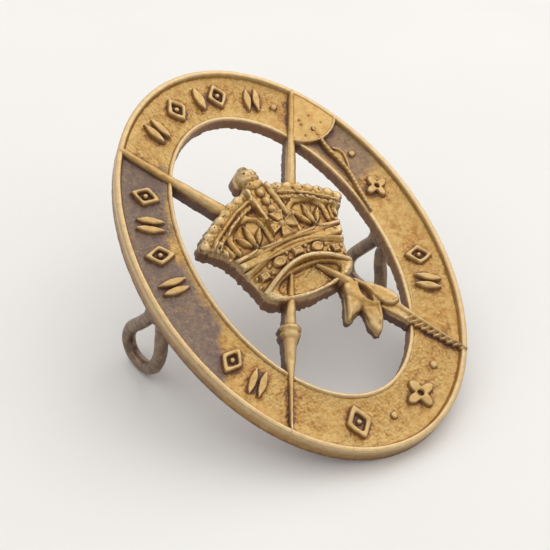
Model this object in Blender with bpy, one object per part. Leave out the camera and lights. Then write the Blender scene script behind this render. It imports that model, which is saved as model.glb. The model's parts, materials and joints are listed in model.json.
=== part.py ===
"""Oval cap badge in brass: a voided oval band, two crossed staves, a crown, and two wire lugs on the back.

The face is laid out flat in its own frame, in millimetres: u to the right, v up, w out of the face, with w = 0 on the
back. The whole badge then leans back on its two lugs and the bottom edge of its rim, as it rests on a table.
"""

import math

import bmesh
import bpy
from mathutils import Vector

MM = 0.001

# Driving sizes
HALF_HEIGHT = 21.0
HALF_WIDTH = 14.68
RIM_TOP = 1.83
RIM_SOFTNESS = 0.22
GROUND_TOP = 1.15
BACK_TILT = math.radians(27.0)
LUG_WIRE_RADIUS = 0.68

# Sizes that follow
GAP = 0.03
OUTER_RIM_WIDTH = 1.1
INNER_RIM_WIDTH = 0.8
OPENING_HALF_WIDTH = 9.37
OPENING_HALF_HEIGHT = 15.26
INNER_RIM_TOP = 1.62
RAISED_TOP = 1.72
RELIEF_BASE = GROUND_TOP + GAP
VOID_BASE = 0.25
SHAFT_HALF_WIDTH = 0.62
SHAFT_TOP = 1.75
CROWN_EDGE_TOP = 1.75
CROWN_BULGE = 0.75
BASE_PANEL_TOP = 1.15
OVAL_STEPS = 112
SOLDER_HEIGHT = 1.7
STAFF_SLOPE = math.atan2(31.0, 19.2)

BRASS_RIM = ("brass_rim", (0.62, 0.43, 0.19), 0.32)
BRASS_GROUND = ("brass_ground", (0.36, 0.23, 0.11), 0.55)
BRASS_RELIEF = ("brass_relief", (0.55, 0.37, 0.16), 0.38)
LUG_WIRE = ("lug_wire", (0.20, 0.13, 0.09), 0.5)
SOLDER = ("solder", (0.24, 0.16, 0.10), 0.6)


def clear_scene():
    for obj in list(bpy.data.objects):
        bpy.data.objects.remove(obj, do_unlink=True)


def material(spec):
    name, colour, roughness = spec
    mat = bpy.data.materials.get(name)
    if mat is None:
        mat = bpy.data.materials.new(name)
        mat.use_nodes = True
        shader = mat.node_tree.nodes["Principled BSDF"]
        shader.inputs["Base Color"].default_value = (*colour, 1.0)
        shader.inputs["Roughness"].default_value = roughness
        shader.inputs["Metallic"].default_value = 1.0
    return mat


def make_frame():
    """Empty that carries the face frame into the resting pose."""
    frame = bpy.data.objects.new("badge_frame", None)
    bpy.context.collection.objects.link(frame)
    frame.rotation_euler = (BACK_TILT, 0.0, 0.0)
    half_depth = 0.5 * (RIM_TOP - RIM_SOFTNESS) * math.sin(BACK_TILT)
    frame.location = (0.0, half_depth * MM, HALF_HEIGHT * math.sin(BACK_TILT) * MM)
    return frame


def add_mesh(name, verts, faces, spec, frame):
    """One closed body from points in millimetres, with its faces turned outwards."""
    bm = bmesh.new()
    points = [bm.verts.new(Vector(v) * MM) for v in verts]
    for face in faces:
        bm.faces.new([points[i] for i in face])
    bmesh.ops.recalc_face_normals(bm, faces=bm.faces)
    mesh = bpy.data.meshes.new(name)
    bm.to_mesh(mesh)
    bm.free()
    mesh.shade_smooth()
    mesh.set_sharp_from_angle(angle=math.radians(35))
    obj = bpy.data.objects.new(name, mesh)
    bpy.context.collection.objects.link(obj)
    mesh.materials.append(material(spec))
    obj.parent = frame
    return obj


def as_cutter(obj):
    obj.hide_render = True
    obj.display_type = "WIRE"
    return obj


def boolean(obj, tool, operation):
    mod = obj.modifiers.new(operation.lower(), "BOOLEAN")
    mod.operation = operation
    mod.object = tool
    mod.solver = "EXACT"


def loft(name, sections, spec, frame):
    """Closed body through sections that all have the same number of points."""
    count = len(sections[0])
    verts = [p for section in sections for p in section]
    faces = []
    for row in range(len(sections) - 1):
        for i in range(count):
            j = (i + 1) % count
            a = row * count
            faces.append((a + i, a + j, a + count + j, a + count + i))
    last = (len(sections) - 1) * count
    faces.append(tuple(range(count)))
    faces.append(tuple(range(last, last + count)))
    return add_mesh(name, verts, faces, spec, frame)


def prism(name, outline, low, high, spec, frame, inset=0.0):
    """Straight-sided plate over an outline, with an optional small bevel round its top."""
    cu = sum(p[0] for p in outline) / len(outline)
    cv = sum(p[1] for p in outline) / len(outline)
    sections = [[(u, v, low) for u, v in outline], [(u, v, high - inset) for u, v in outline]]
    if inset:
        top = []
        for u, v in outline:
            reach = math.hypot(u - cu, v - cv)
            keep = 1.0 - inset / reach
            top.append((cu + (u - cu) * keep, cv + (v - cv) * keep, high))
        sections.append(top)
    return loft(name, sections, spec, frame)


def oval_point(half_width, half_height, angle, outward=0.0):
    """Point on the parallel curve of an ellipse, a set distance outside it."""
    u = half_width * math.cos(angle)
    v = half_height * math.sin(angle)
    normal = Vector((math.cos(angle) / half_width, math.sin(angle) / half_height)).normalized()
    return u + normal.x * outward, v + normal.y * outward


def oval_ring(name, profile, spec, frame, steps=OVAL_STEPS):
    """Sweep a profile round the badge. Each profile point is (ellipse, outward distance, w)."""
    count = len(profile)
    verts = []
    for step in range(steps):
        angle = math.tau * step / steps
        for (half_width, half_height), outward, w in profile:
            verts.append((*oval_point(half_width, half_height, angle, outward), w))
    faces = []
    for step in range(steps):
        a = step * count
        b = ((step + 1) % steps) * count
        for i in range(count):
            j = (i + 1) % count
            faces.append((a + i, a + j, b + j, b + i))
    return add_mesh(name, verts, faces, spec, frame)


OUTER = (HALF_WIDTH, HALF_HEIGHT)
OPENING = (OPENING_HALF_WIDTH, OPENING_HALF_HEIGHT)


def make_band(frame):
    """Outer rim, recessed band and inner rim, nested with a small gap."""
    soft = RIM_SOFTNESS
    outer_rim = oval_ring("outer_rim", [
        (OUTER, 0.0, 0.0),
        (OUTER, 0.0, RIM_TOP - soft),
        (OUTER, -soft, RIM_TOP),
        (OUTER, soft - OUTER_RIM_WIDTH, RIM_TOP),
        (OUTER, -OUTER_RIM_WIDTH, GROUND_TOP),
        (OUTER, -OUTER_RIM_WIDTH, 0.0),
    ], BRASS_RIM, frame)
    oval_ring("oval_band", [
        (OUTER, -OUTER_RIM_WIDTH - GAP, 0.0),
        (OUTER, -OUTER_RIM_WIDTH - GAP, GROUND_TOP),
        (OPENING, INNER_RIM_WIDTH + GAP, GROUND_TOP),
        (OPENING, INNER_RIM_WIDTH + GAP, 0.0),
    ], BRASS_GROUND, frame)
    inner_rim = oval_ring("inner_rim", [
        (OPENING, INNER_RIM_WIDTH, 0.0),
        (OPENING, INNER_RIM_WIDTH, GROUND_TOP),
        (OPENING, INNER_RIM_WIDTH - soft, INNER_RIM_TOP),
        (OPENING, soft, INNER_RIM_TOP),
        (OPENING, 0.0, INNER_RIM_TOP - soft),
        (OPENING, 0.0, 0.0),
    ], BRASS_RIM, frame)
    return outer_rim, inner_rim


def staff_point(lean, along, across):
    """Point on a staff's plan: lean is +1 for the axe staff and -1 for the long club, along runs upwards."""
    axis = Vector((math.cos(STAFF_SLOPE) * lean, math.sin(STAFF_SLOPE)))
    side = Vector((axis.y, -axis.x))
    p = axis * along + side * across
    return p.x, p.y


def rounded_section(lean, along, half_width, low, high):
    """Cross-section of a bar with a flat back and a round front, standing across a staff."""
    shoulder = low + 0.45 * (high - low)
    section = [(-half_width, low), (half_width, low)]
    for step in range(7):
        angle = math.pi * step / 6
        section.append((half_width * math.cos(angle), shoulder + (high - shoulder) * math.sin(angle)))
    return [(*staff_point(lean, along, across), w) for across, w in section]


def bar(name, lean, stations, spec, frame):
    """Bar along a staff. Each station is (along, half width, low, high)."""
    sections = [rounded_section(lean, *station) for station in stations]
    return loft(name, sections, spec, frame)


def shape_on_staff(lean, outline):
    return [staff_point(lean, along, across) for along, across in outline]


def crown_outline():
    """Plan of the crown from the middle of the arches round to the foot, mirrored left to right."""
    right = [(0.0, 7.1), (1.9, 6.9), (3.9, 6.15), (5.7, 5.1), (7.0, 4.3), (7.75, 3.6), (7.3, 2.6), (6.3, 1.5)]
    right += [(5.65, 0.35)]
    left = [(-u, v) for u, v in reversed(right[1:])]
    lower = arc_between((-5.65, 0.35), (5.65, 0.35), 0.45, 7)
    return right[::-1] + left[::-1] + lower[1:-1]


def arc_between(start, end, rise, steps):
    """Shallow curve between two points, bowed upwards by a set rise."""
    points = []
    for step in range(steps):
        t = step / (steps - 1)
        u = start[0] + (end[0] - start[0]) * t
        v = start[1] + (end[1] - start[1]) * t + rise * math.sin(math.pi * t)
        points.append((u, v))
    return points


def domed_plate(name, outline, centre, edge_top, bulge, rings, spec, frame):
    """Flat-backed plate over an outline, whose front swells towards its centre."""
    cu, cv = centre
    count = len(outline)
    verts = [(u, v, 0.0) for u, v in outline]
    for ring in range(rings):
        keep = 1.0 - ring / rings
        w = edge_top + bulge * (1.0 - keep ** 2)
        verts += [(cu + (u - cu) * keep, cv + (v - cv) * keep, w) for u, v in outline]
    verts.append((cu, cv, edge_top + bulge))
    faces = [tuple(range(count))]
    for row in range(rings):
        for i in range(count):
            j = (i + 1) % count
            a = row * count
            faces.append((a + i, a + j, a + count + j, a + count + i))
    tip = len(verts) - 1
    inner = rings * count
    faces += [(inner + i, inner + (i + 1) % count, tip) for i in range(count)]
    return add_mesh(name, verts, faces, spec, frame)


def beaded_bar(name, path, radius, swell, beads, spec, frame, sides=8, rings_per_bead=6):
    """Round bar along a path, whose thickness swells into a row of beads."""
    rings = beads * rings_per_bead
    sections = []
    for ring in range(rings + 1):
        t = ring / rings
        point = path(t)
        ahead = path(min(1.0, t + 0.01)) - path(max(0.0, t - 0.01))
        ahead.normalize()
        side = ahead.cross(Vector((0.0, 0.0, 1.0))).normalized()
        lift = side.cross(ahead)
        reach = radius + swell * abs(math.sin(math.pi * beads * t))
        section = []
        for k in range(sides):
            angle = math.tau * k / sides
            section.append(tuple(point + side * reach * math.cos(angle) + lift * reach * math.sin(angle)))
        sections.append(section)
    return loft(name, sections, spec, frame)


def ball(name, centre, radii, spec, frame, rings=6, sides=12):
    """Ellipsoid built from rings, closed by a small facet at each pole."""
    sections = []
    for ring in range(rings + 1):
        polar = math.pi * (0.06 + 0.88 * ring / rings)
        section = []
        for k in range(sides):
            angle = math.tau * k / sides
            section.append((
                centre[0] + radii[0] * math.sin(polar) * math.cos(angle),
                centre[1] + radii[1] * math.sin(polar) * math.sin(angle),
                centre[2] + radii[2] * math.cos(polar),
            ))
        sections.append(section)
    return loft(name, sections, spec, frame)


def crown_front(u, v):
    """Height of the swelling crown cap over its plan, just clear of its surface."""
    reach = math.hypot(u / 7.9, (v - 3.2) / 4.6)
    return CROWN_EDGE_TOP + CROWN_BULGE * max(0.0, 1.0 - reach ** 2)


def make_crown(frame):
    """Cap, headband with jewels, base panel, orb with cross, three beaded arches and the ornaments."""
    centre = (0.0, 3.0)
    outline = crown_outline()
    domed_plate("crown_cap", outline, centre, CROWN_EDGE_TOP, CROWN_BULGE, 5, BRASS_RELIEF, frame)

    top = arc_between((-5.6, 0.3), (5.6, 0.3), 0.45, 11)
    foot = arc_between((-4.75, -3.45), (4.75, -3.45), 1.7, 11)
    sections = []
    for (u_top, v_top), (u_foot, v_foot) in zip(top, foot):
        t = (u_top + 5.6) / 11.2
        swell = CROWN_EDGE_TOP + 0.75 * math.sin(math.pi * t)
        lip = 0.35
        span = v_top - GAP - v_foot
        profile = [(0.0, 0.0), (0.0, swell + lip), (0.14, swell + lip), (0.2, swell), (0.8, swell)]
        profile += [(0.86, swell + lip), (1.0, swell + lip), (1.0, 0.0)]
        sections.append([
            (u_foot + (u_top - u_foot) * f, v_foot + span * f, w) for f, w in profile
        ])
    headband = loft("crown_headband", sections, BRASS_RELIEF, frame)
    for index in range(7):
        t = (index + 1) / 8
        u = -5.1 + 10.2 * t
        v = -1.55 + 1.05 * math.sin(math.pi * t)
        swell = CROWN_EDGE_TOP + 0.75 * math.sin(math.pi * t)
        radii = (0.52, 0.42, 0.32) if index % 2 == 0 else (0.42, 0.3, 0.26)
        jewel = ball("jewel_%d" % index, (u, v, swell), radii, BRASS_RELIEF, frame)
        boolean(headband, as_cutter(jewel), "UNION")

    panel_outline = [(u, v - GAP) for u, v in foot]
    rear = arc_between((4.75, -3.7), (-4.75, -3.7), -1.45, 13)
    panel = prism("crown_base_panel", panel_outline + rear, 0.0, BASE_PANEL_TOP, BRASS_GROUND, frame)
    lip = [(u * 0.92, v + 0.34) for u, v in reversed(rear)]
    boolean(panel, as_cutter(prism("base_lip", rear + lip, 0.0, RAISED_TOP, BRASS_RELIEF, frame)), "UNION")
    for lean, half_width in ((1, 0.6), (-1, 1.05)):
        notch_outline = shape_on_staff(lean, [(-8.0, -half_width), (-3.0, -half_width), (-3.0, half_width),
                                              (-8.0, half_width)])
        space = prism("panel_notch_%d" % lean, notch_outline, BASE_PANEL_TOP, 4.0, BRASS_RELIEF, frame)
        boolean(panel, as_cutter(space), "DIFFERENCE")

    orb = ball("crown_orb", (0.0, 8.25, 1.35), (1.25, 1.3, 1.15), BRASS_RELIEF, frame, 8, 16)
    cross = prism("orb_cross", cross_outline(0.0, 8.9, 0.62), 1.6, 2.75, BRASS_RELIEF, frame)
    boolean(orb, as_cutter(cross), "UNION")
    stem = prism("orb_stem", disc_outline(0.0, 7.35, 0.62, 12), 0.35, 1.7, BRASS_RELIEF, frame)
    boolean(orb, as_cutter(stem), "UNION")

    crown_hull = grown(outline, centre, 1.012)
    hull = as_cutter(prism("crown_hull", crown_hull, -1.0, CROWN_EDGE_TOP + 2.0, BRASS_RELIEF, frame))
    boolean(orb, hull, "DIFFERENCE")

    make_arches(frame, 0.34)
    return hull


def make_arches(frame, lift):
    """Pearled arches over the cap, the front cross and the two fleurons."""
    def middle(t):
        v = 0.95 + 5.9 * t
        return Vector((0.0, v, crown_front(0.0, v) + lift + 0.1))

    def side_arch(side):
        def path(t):
            u = side * (0.95 + 6.2 * t)
            v = 6.45 - 0.45 * t - 2.5 * t * t
            return Vector((u, v, crown_front(u, v) + lift))
        return path

    beaded_bar("crown_arch_middle", middle, 0.2, 0.14, 7, BRASS_RELIEF, frame)
    beaded_bar("crown_arch_left", side_arch(-1), 0.2, 0.14, 9, BRASS_RELIEF, frame)
    beaded_bar("crown_arch_right", side_arch(1), 0.2, 0.14, 9, BRASS_RELIEF, frame)
    for name, side in (("crown_fleuron_left", -1), ("crown_fleuron_right", 1)):
        u, v = side * 3.1, 2.75
        low = crown_front(u * 0.7, v) + GAP
        prism(name, fleuron_outline(u, v, 1.35), low, low + 0.35, BRASS_RELIEF, frame)


def cross_outline(u, v, reach):
    """Cross with arms that widen outwards."""
    points = []
    for arm in range(4):
        turn = math.pi / 2 * arm
        for along, across in ((0.3, -0.25), (1.0, -0.45), (1.0, 0.45)):
            x = reach * (along * math.cos(turn) - across * math.sin(turn))
            y = reach * (along * math.sin(turn) + across * math.cos(turn))
            points.append((u + x, v + y))
    return points


def disc_outline(u, v, radius, sides):
    return [(u + radius * math.cos(math.tau * k / sides), v + radius * math.sin(math.tau * k / sides))
            for k in range(sides)]


def fleuron_outline(u, v, size):
    """Three-lobed flower on a short foot."""
    points = []
    for k in range(36):
        angle = math.tau * k / 36
        reach = size * (0.62 + 0.3 * math.cos(3 * (angle - math.pi / 2)))
        points.append((u + 0.85 * reach * math.cos(angle), v + reach * math.sin(angle)))
    return points


def grown(outline, centre, scale):
    cu, cv = centre
    return [(cu + (u - cu) * scale, cv + (v - cv) * scale) for u, v in outline]


def make_envelope(frame):
    """Space that the flat ring fills, up to its ground, which the staves keep clear of."""
    return as_cutter(oval_ring("ring_envelope", [
        (OUTER, 0.3, -0.5),
        (OUTER, 0.3, RELIEF_BASE),
        (OPENING, -GAP, RELIEF_BASE),
        (OPENING, -GAP, -0.5),
    ], BRASS_GROUND, frame))


def make_staves(frame, hull):
    """Two crossed staves, each stopped by the crown, with their heads and blades."""
    ring = make_envelope(frame)
    base_centre = (0.0, -3.4)
    base = as_cutter(prism("base_envelope", [(base_centre[0] + 4.95 * math.cos(math.tau * k / 32),
                                              base_centre[1] + 1.85 * math.sin(math.tau * k / 32))
                                             for k in range(32)],
                           -0.5, BASE_PANEL_TOP + GAP, BRASS_GROUND, frame))
    band_end = 17.75
    thin = SHAFT_HALF_WIDTH
    slim = 0.42

    club_upper = bar("club_upper_shaft", -1, [
        (7.0, thin * 1.05, VOID_BASE, SHAFT_TOP),
        (13.0, thin * 0.85, VOID_BASE, SHAFT_TOP),
        (band_end, slim, VOID_BASE, RAISED_TOP),
    ], BRASS_RELIEF, frame)
    axe_upper = bar("axe_upper_shaft", 1, [
        (6.0, thin, VOID_BASE, SHAFT_TOP),
        (13.0, thin * 0.9, VOID_BASE, SHAFT_TOP),
        (band_end, slim, VOID_BASE, RAISED_TOP),
    ], BRASS_RELIEF, frame)
    axe_lower = bar("axe_lower_shaft", 1, [
        (-3.3, 0.4, VOID_BASE, 2.0),
        (-6.6, 0.5, VOID_BASE, 1.8),
        (-7.9, 0.5, VOID_BASE, 1.8),
        (-8.0, 0.95, 0.1, 2.05),
        (-8.7, 1.05, 0.1, 2.15),
        (-9.7, 0.75, 0.1, 2.0),
        (-10.4, 0.6, VOID_BASE, 1.75),
        (-14.0, 0.5, VOID_BASE, RAISED_TOP),
        (-band_end, 0.28, VOID_BASE, 1.5),
    ], BRASS_RELIEF, frame)
    club_collar = bar("club_collar", -1, [
        (-3.1, 0.45, VOID_BASE, 2.0),
        (-4.4, 0.55, VOID_BASE, 2.1),
        (-4.9, 0.9, VOID_BASE, 2.35),
        (-5.7, 1.0, VOID_BASE, 2.35),
    ], BRASS_RELIEF, frame)
    club_tuft = prism("club_feather_tuft", shape_on_staff(-1, [
        (-5.75, 0.95), (-5.75, -1.0), (-6.2, -1.9), (-6.7, -3.3), (-7.6, -4.8), (-8.1, -4.1), (-8.8, -3.2),
        (-9.6, -3.9), (-10.7, -4.2), (-10.75, -2.9), (-9.9, -1.15), (-8.6, -1.0), (-8.6, 1.0), (-7.2, 1.25),
    ]), 0.35, 2.3, BRASS_RELIEF, frame, 0.15)
    blade_stations = [(-8.65, 0.85, VOID_BASE, 2.1), (-10.2, 1.0, VOID_BASE, 1.95)]
    for notch in range(5):
        start = -10.6 - 1.15 * notch
        fall = 0.1 * notch
        blade_stations.append((start, 0.85 - fall, VOID_BASE, 1.9))
        blade_stations.append((start - 0.75, 1.05 - fall, VOID_BASE, 1.9))
    blade_stations.append((-band_end, 0.3, VOID_BASE, 1.6))
    club_blade = bar("club_notched_blade", -1, blade_stations, BRASS_RELIEF, frame)

    for part in (club_upper, axe_upper):
        boolean(part, hull, "DIFFERENCE")
    for part in (axe_lower, club_collar, club_tuft, club_blade):
        boolean(part, base, "DIFFERENCE")
    for part in (club_upper, axe_upper, axe_lower, club_blade):
        boolean(part, ring, "DIFFERENCE")


def axe_blade_outline():
    edge = []
    for step in range(9):
        angle = math.radians(142.0 * (1 - step / 8))
        edge.append((14.6 + 3.0 * math.cos(angle), 0.68 + 3.6 * math.sin(angle)))
    return shape_on_staff(1, [(12.0, 0.68)] + edge)


def make_axe_head(frame):
    """Quarter-round blade beside the axe staff, and the feather cord that hangs from it."""
    prism("axe_blade", axe_blade_outline(), RELIEF_BASE, RAISED_TOP + 0.1, BRASS_RELIEF, frame, 0.12)

    def cord(t):
        angle = math.radians(31.0 - 15.5 * t)
        u, v = oval_point(OPENING_HALF_WIDTH, OPENING_HALF_HEIGHT, angle, 1.3)
        return Vector((u, v, RELIEF_BASE + 0.45))

    beaded_bar("axe_feather_cord", cord, 0.28, 0.13, 6, BRASS_RELIEF, frame)


def notch_rims(frame, rims):
    """Cut the raised lips of both rims where a stave or the axe blade crosses them."""
    reach = 17.8
    strips = [(-1, 6.0, reach, 0.62), (1, 6.0, reach, 0.62), (1, -reach, -9.0, 0.55), (-1, -reach, -9.0, 0.95)]
    for index, (lean, start, end, half_width) in enumerate(strips):
        outline = shape_on_staff(lean, [(start, -half_width), (end, -half_width), (end, half_width),
                                        (start, half_width)])
        tool = as_cutter(prism("notch_%d" % index, outline, RELIEF_BASE - GAP, 4.0, BRASS_RIM, frame))
        for rim in rims:
            boolean(rim, tool, "DIFFERENCE")
    blade_space = grown(axe_blade_outline(), staff_point(1, 14.5, 2.0), 1.03)
    tool = as_cutter(prism("notch_blade", blade_space, RELIEF_BASE - GAP, 4.0, BRASS_RIM, frame))
    for rim in rims:
        boolean(rim, tool, "DIFFERENCE")


def band_place(degrees):
    """Middle of the band at an angle round the badge, and the direction across the band there."""
    angle = math.radians(degrees)
    outer = Vector(oval_point(*OUTER, angle, -OUTER_RIM_WIDTH))
    inner = Vector(oval_point(*OPENING, angle, INNER_RIM_WIDTH))
    return (outer + inner) / 2, (outer - inner).normalized()


def placed(outline, degrees):
    """Turn an outline drawn as (across the band, along the band) to its place on the band."""
    middle, across = band_place(degrees)
    along = Vector((-across.y, across.x))
    return [tuple(middle + across * a + along * b) for a, b in outline]


def capsule(half_length, radius, shift=0.0):
    points = []
    for end in (1, -1):
        for k in range(6):
            angle = math.pi * k / 5 - math.pi / 2
            points.append((end * (half_length - radius + radius * math.cos(angle)),
                           shift + end * radius * math.sin(angle)))
    return points


def quatrefoil(size):
    points = []
    for k in range(40):
        angle = math.tau * k / 40
        reach = size * (0.74 + 0.26 * math.cos(4 * angle))
        points.append((reach * math.cos(angle), reach * math.sin(angle)))
    return points


def lozenge(half_length, half_width):
    return [(half_length, 0.0), (0.0, half_width), (-half_length, 0.0), (0.0, -half_width)]


def open_lozenge(name, degrees, frame):
    """Lozenge-shaped frame with a lozenge hole."""
    outer = placed(lozenge(1.3, 0.95), degrees)
    inner = placed(lozenge(0.68, 0.5), degrees)
    verts = []
    for w in (RELIEF_BASE, RAISED_TOP):
        verts += [(u, v, w) for u, v in outer] + [(u, v, w) for u, v in inner]
    faces = []
    for i in range(4):
        j = (i + 1) % 4
        faces.append((i, j, 4 + j, 4 + i))
        faces.append((8 + i, 8 + j, 12 + j, 12 + i))
        faces.append((i, j, 8 + j, 8 + i))
        faces.append((4 + i, 4 + j, 12 + j, 12 + i))
    add_mesh(name, verts, faces, BRASS_RELIEF, frame)


# Marks round the band, by angle in degrees from the right-hand side
BARS = (63.5, 88.0, 116.0, 156.0, 177.0, 214.5, 333.5)
LOZENGES = (79.0, 101.0, 145.5, 166.5, 204.5, 253.0, 343.0)
FLOWERS = (9.0, 286.0)
PELLETS = (54.0, 22.0, 269.5, 301.0)


def make_marks(frame):
    """Plain geometric marks round the band."""
    for index, degrees in enumerate(BARS):
        prism("band_bar_%d" % index, placed(capsule(1.2, 0.42), degrees), RELIEF_BASE, RAISED_TOP,
              BRASS_RELIEF, frame, 0.1)
    for index, degrees in enumerate(LOZENGES):
        open_lozenge("band_lozenge_%d" % index, degrees, frame)
    for index, degrees in enumerate(FLOWERS):
        prism("band_flower_%d" % index, placed(quatrefoil(1.1), degrees), RELIEF_BASE, RAISED_TOP,
              BRASS_RELIEF, frame, 0.1)
    for index, degrees in enumerate(PELLETS):
        middle = band_place(degrees)[0]
        prism("band_pellet_%d" % index, disc_outline(middle.x, middle.y, 0.42, 12), RELIEF_BASE, RAISED_TOP - 0.1,
              BRASS_RELIEF, frame, 0.1)


def lug_route(bends, steps=4):
    """Wire centreline as (v, w): a smooth curve through the bends, from one foot round to the other."""
    line = []
    for index in range(len(bends) - 1):
        before = Vector(bends[max(0, index - 1)])
        start = Vector(bends[index])
        end = Vector(bends[index + 1])
        after = Vector(bends[min(len(bends) - 1, index + 2)])
        for step in range(steps):
            t = step / steps
            bow = (end - before) * t * (1 - t) ** 2 / 2 - (after - start) * t * t * (1 - t) / 2
            line.append(tuple(start.lerp(end, t * t * (3 - 2 * t)) + bow))
    return line + [bends[-1]]


def make_lug(name, u, route, fillet, frame):
    """Open wire loop whose two ends stop at the solder fillet on the back."""
    sides = 10
    sections = []
    for index, (v, w) in enumerate(route):
        before = route[max(0, index - 1)]
        after = route[min(len(route) - 1, index + 1)]
        ahead = Vector((0.0, after[0] - before[0], after[1] - before[1])).normalized()
        side = Vector((1.0, 0.0, 0.0))
        lift = side.cross(ahead)
        section = []
        for k in range(sides):
            angle = math.tau * k / sides
            offset = side * math.cos(angle) + lift * math.sin(angle)
            section.append(tuple(Vector((u, v, w)) + offset * LUG_WIRE_RADIUS))
        sections.append(section)
    lug = loft(name, sections, LUG_WIRE, frame)
    boolean(lug, fillet, "DIFFERENCE")


def solder_cone(name, u, foot_v, extra, frame):
    """Mound of hard solder round the foot of a lug, or that mound enlarged all round by extra."""
    half_u = 0.95
    half_v = 1.6
    sides = 20
    sections = []
    for depth, keep in ((0.0, 1.0), (0.35, 0.93), (1.0, 0.84), (SOLDER_HEIGHT, 0.8)):
        low = -GAP - depth
        if extra:
            low = 0.5 if depth == 0.0 else low - extra
        sections.append([(u + (half_u * keep + extra) * math.cos(math.tau * k / sides),
                          foot_v + (half_v * keep + extra) * math.sin(math.tau * k / sides), low) for k in range(sides)])
    return loft(name, sections, SOLDER, frame)


# Each lug: u of its plane, v of its foot, and the bends of its wire as (v, w), which rests on the table
LUGS = {
    "left": (-13.7, 0.0, [(0.72, 0.0), (0.75, -2.4), (1.5, -4.9), (2.4, -7.5), (2.25, -9.6), (0.9, -10.35),
                          (-0.9, -9.43), (-2.0, -7.6), (-2.15, -5.0), (-1.6, -2.8), (-0.72, 0.0)]),
    "right": (10.35, -1.5, [(-0.75, 0.0), (-0.8, -2.2), (-0.35, -4.0), (0.3, -6.6), (0.3, -8.2), (-0.6, -9.28),
                            (-2.1, -8.84), (-3.8, -7.95), (-4.5, -6.6), (-3.8, -4.8), (-2.85, -3.3), (-2.35, -2.0),
                            (-2.25, 0.0)]),
}


def make_lugs(frame):
    for side, (u, foot_v, bends) in LUGS.items():
        solder_cone("%s_lug_solder" % side, u, foot_v, 0.0, frame)
        space = as_cutter(solder_cone("%s_solder_space" % side, u, foot_v, GAP, frame))
        make_lug("%s_lug" % side, u, lug_route(bends), space, frame)


def main():
    clear_scene()
    frame = make_frame()
    rims = make_band(frame)
    hull = make_crown(frame)
    make_staves(frame, hull)
    make_axe_head(frame)
    notch_rims(frame, rims)
    make_marks(frame)
    make_lugs(frame)


main()
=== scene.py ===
"""Looks for the oval cap badge: struck brass relief, two soldered wire lugs, a pale table, soft light.

Every piece of the struck face is drawn in the face frame, in millimetres: u to the right, v up, w out of
the face, with w = 0 on the back. A piece is a plan, as a signed distance that is negative inside, and the
height of its front. Noise takes shifted coordinates, so that each use falls on another part of it.
"""

import json
import math

import bpy
import numpy as np
from mathutils import Matrix, Vector


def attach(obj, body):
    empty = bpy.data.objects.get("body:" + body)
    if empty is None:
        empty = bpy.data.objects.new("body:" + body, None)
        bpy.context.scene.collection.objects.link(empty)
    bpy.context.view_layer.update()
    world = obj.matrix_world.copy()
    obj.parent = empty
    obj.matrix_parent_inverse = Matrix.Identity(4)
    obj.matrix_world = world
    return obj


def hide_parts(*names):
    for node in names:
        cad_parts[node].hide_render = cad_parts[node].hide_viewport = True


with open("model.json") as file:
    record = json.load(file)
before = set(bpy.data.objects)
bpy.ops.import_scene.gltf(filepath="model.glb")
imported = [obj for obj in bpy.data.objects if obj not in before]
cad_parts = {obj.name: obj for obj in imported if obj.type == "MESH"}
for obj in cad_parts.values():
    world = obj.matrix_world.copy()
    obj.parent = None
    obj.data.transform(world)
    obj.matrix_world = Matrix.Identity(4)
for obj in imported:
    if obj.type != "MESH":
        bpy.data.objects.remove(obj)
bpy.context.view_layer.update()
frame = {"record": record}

MM = 0.001
SEED = 7
NOISE_CELLS = 64
SHARP_ANGLE = math.radians(55.0)
# How finely the rings, the walls of the plates and each bend of the wire are cut up
SWEEP_STEPS = 1400
WALL_LEVELS = 4
LUG_STEPS = 26

# Driving sizes, as the CAD part has them
HALF_WIDTH = 14.68
HALF_HEIGHT = 21.0
OPENING_HALF_WIDTH = 9.37
OPENING_HALF_HEIGHT = 15.26
RIM_TOP = 1.83
RIM_SOFTNESS = 0.22
INNER_RIM_TOP = 1.58
GROUND = 1.3
OUTER_RIM_WIDTH = 1.1
INNER_RIM_WIDTH = 0.8
RAISED_TOP = 1.72
WALL_TOP = 1.4
VOID_BASE = 0.25
STAFF_END = 18.3
STAFF_SLOPE = math.atan2(31.0, 19.2)
OUTER = (HALF_WIDTH, HALF_HEIGHT)
OPENING = (OPENING_HALF_WIDTH, OPENING_HALF_HEIGHT)

# The face frame leans back on the lugs: the mount's axis gives the lean
TILT = math.asin(frame["record"]["mounts"][0]["axis"][1])
ORIGIN_Y = 0.5 * (RIM_TOP - RIM_SOFTNESS) * math.sin(TILT)
ORIGIN_Z = HALF_HEIGHT * math.sin(TILT)

# Height map of the whole face, for wear, grime, painted shade and painted highlights
MAP_STEP = 0.1
MAP_U = np.arange(-HALF_WIDTH - 1.0, HALF_WIDTH + 1.0, MAP_STEP)
MAP_V = np.arange(-HALF_HEIGHT - 1.0, HALF_HEIGHT + 1.0, MAP_STEP)
height_map = np.zeros((len(MAP_V), len(MAP_U)))
face_pieces = []


# ---- noise

def noise_table(seed):
    return np.random.default_rng(SEED + seed).random((NOISE_CELLS, NOISE_CELLS))


def ease(t):
    """Share from 0 to 1, eased at both ends."""
    return t * t * (3.0 - 2.0 * t)


def between_cells(field, rows, columns, fx, fy):
    """Mix of the four cells around each point. Rows and columns are pairs: this one and the next."""
    j, next_j = rows
    i, next_i = columns
    near = field[j, i] * (1 - fx) + field[j, next_i] * fx
    far = field[next_j, i] * (1 - fx) + field[next_j, next_i] * fx
    return near * (1 - fy) + far * fy


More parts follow.
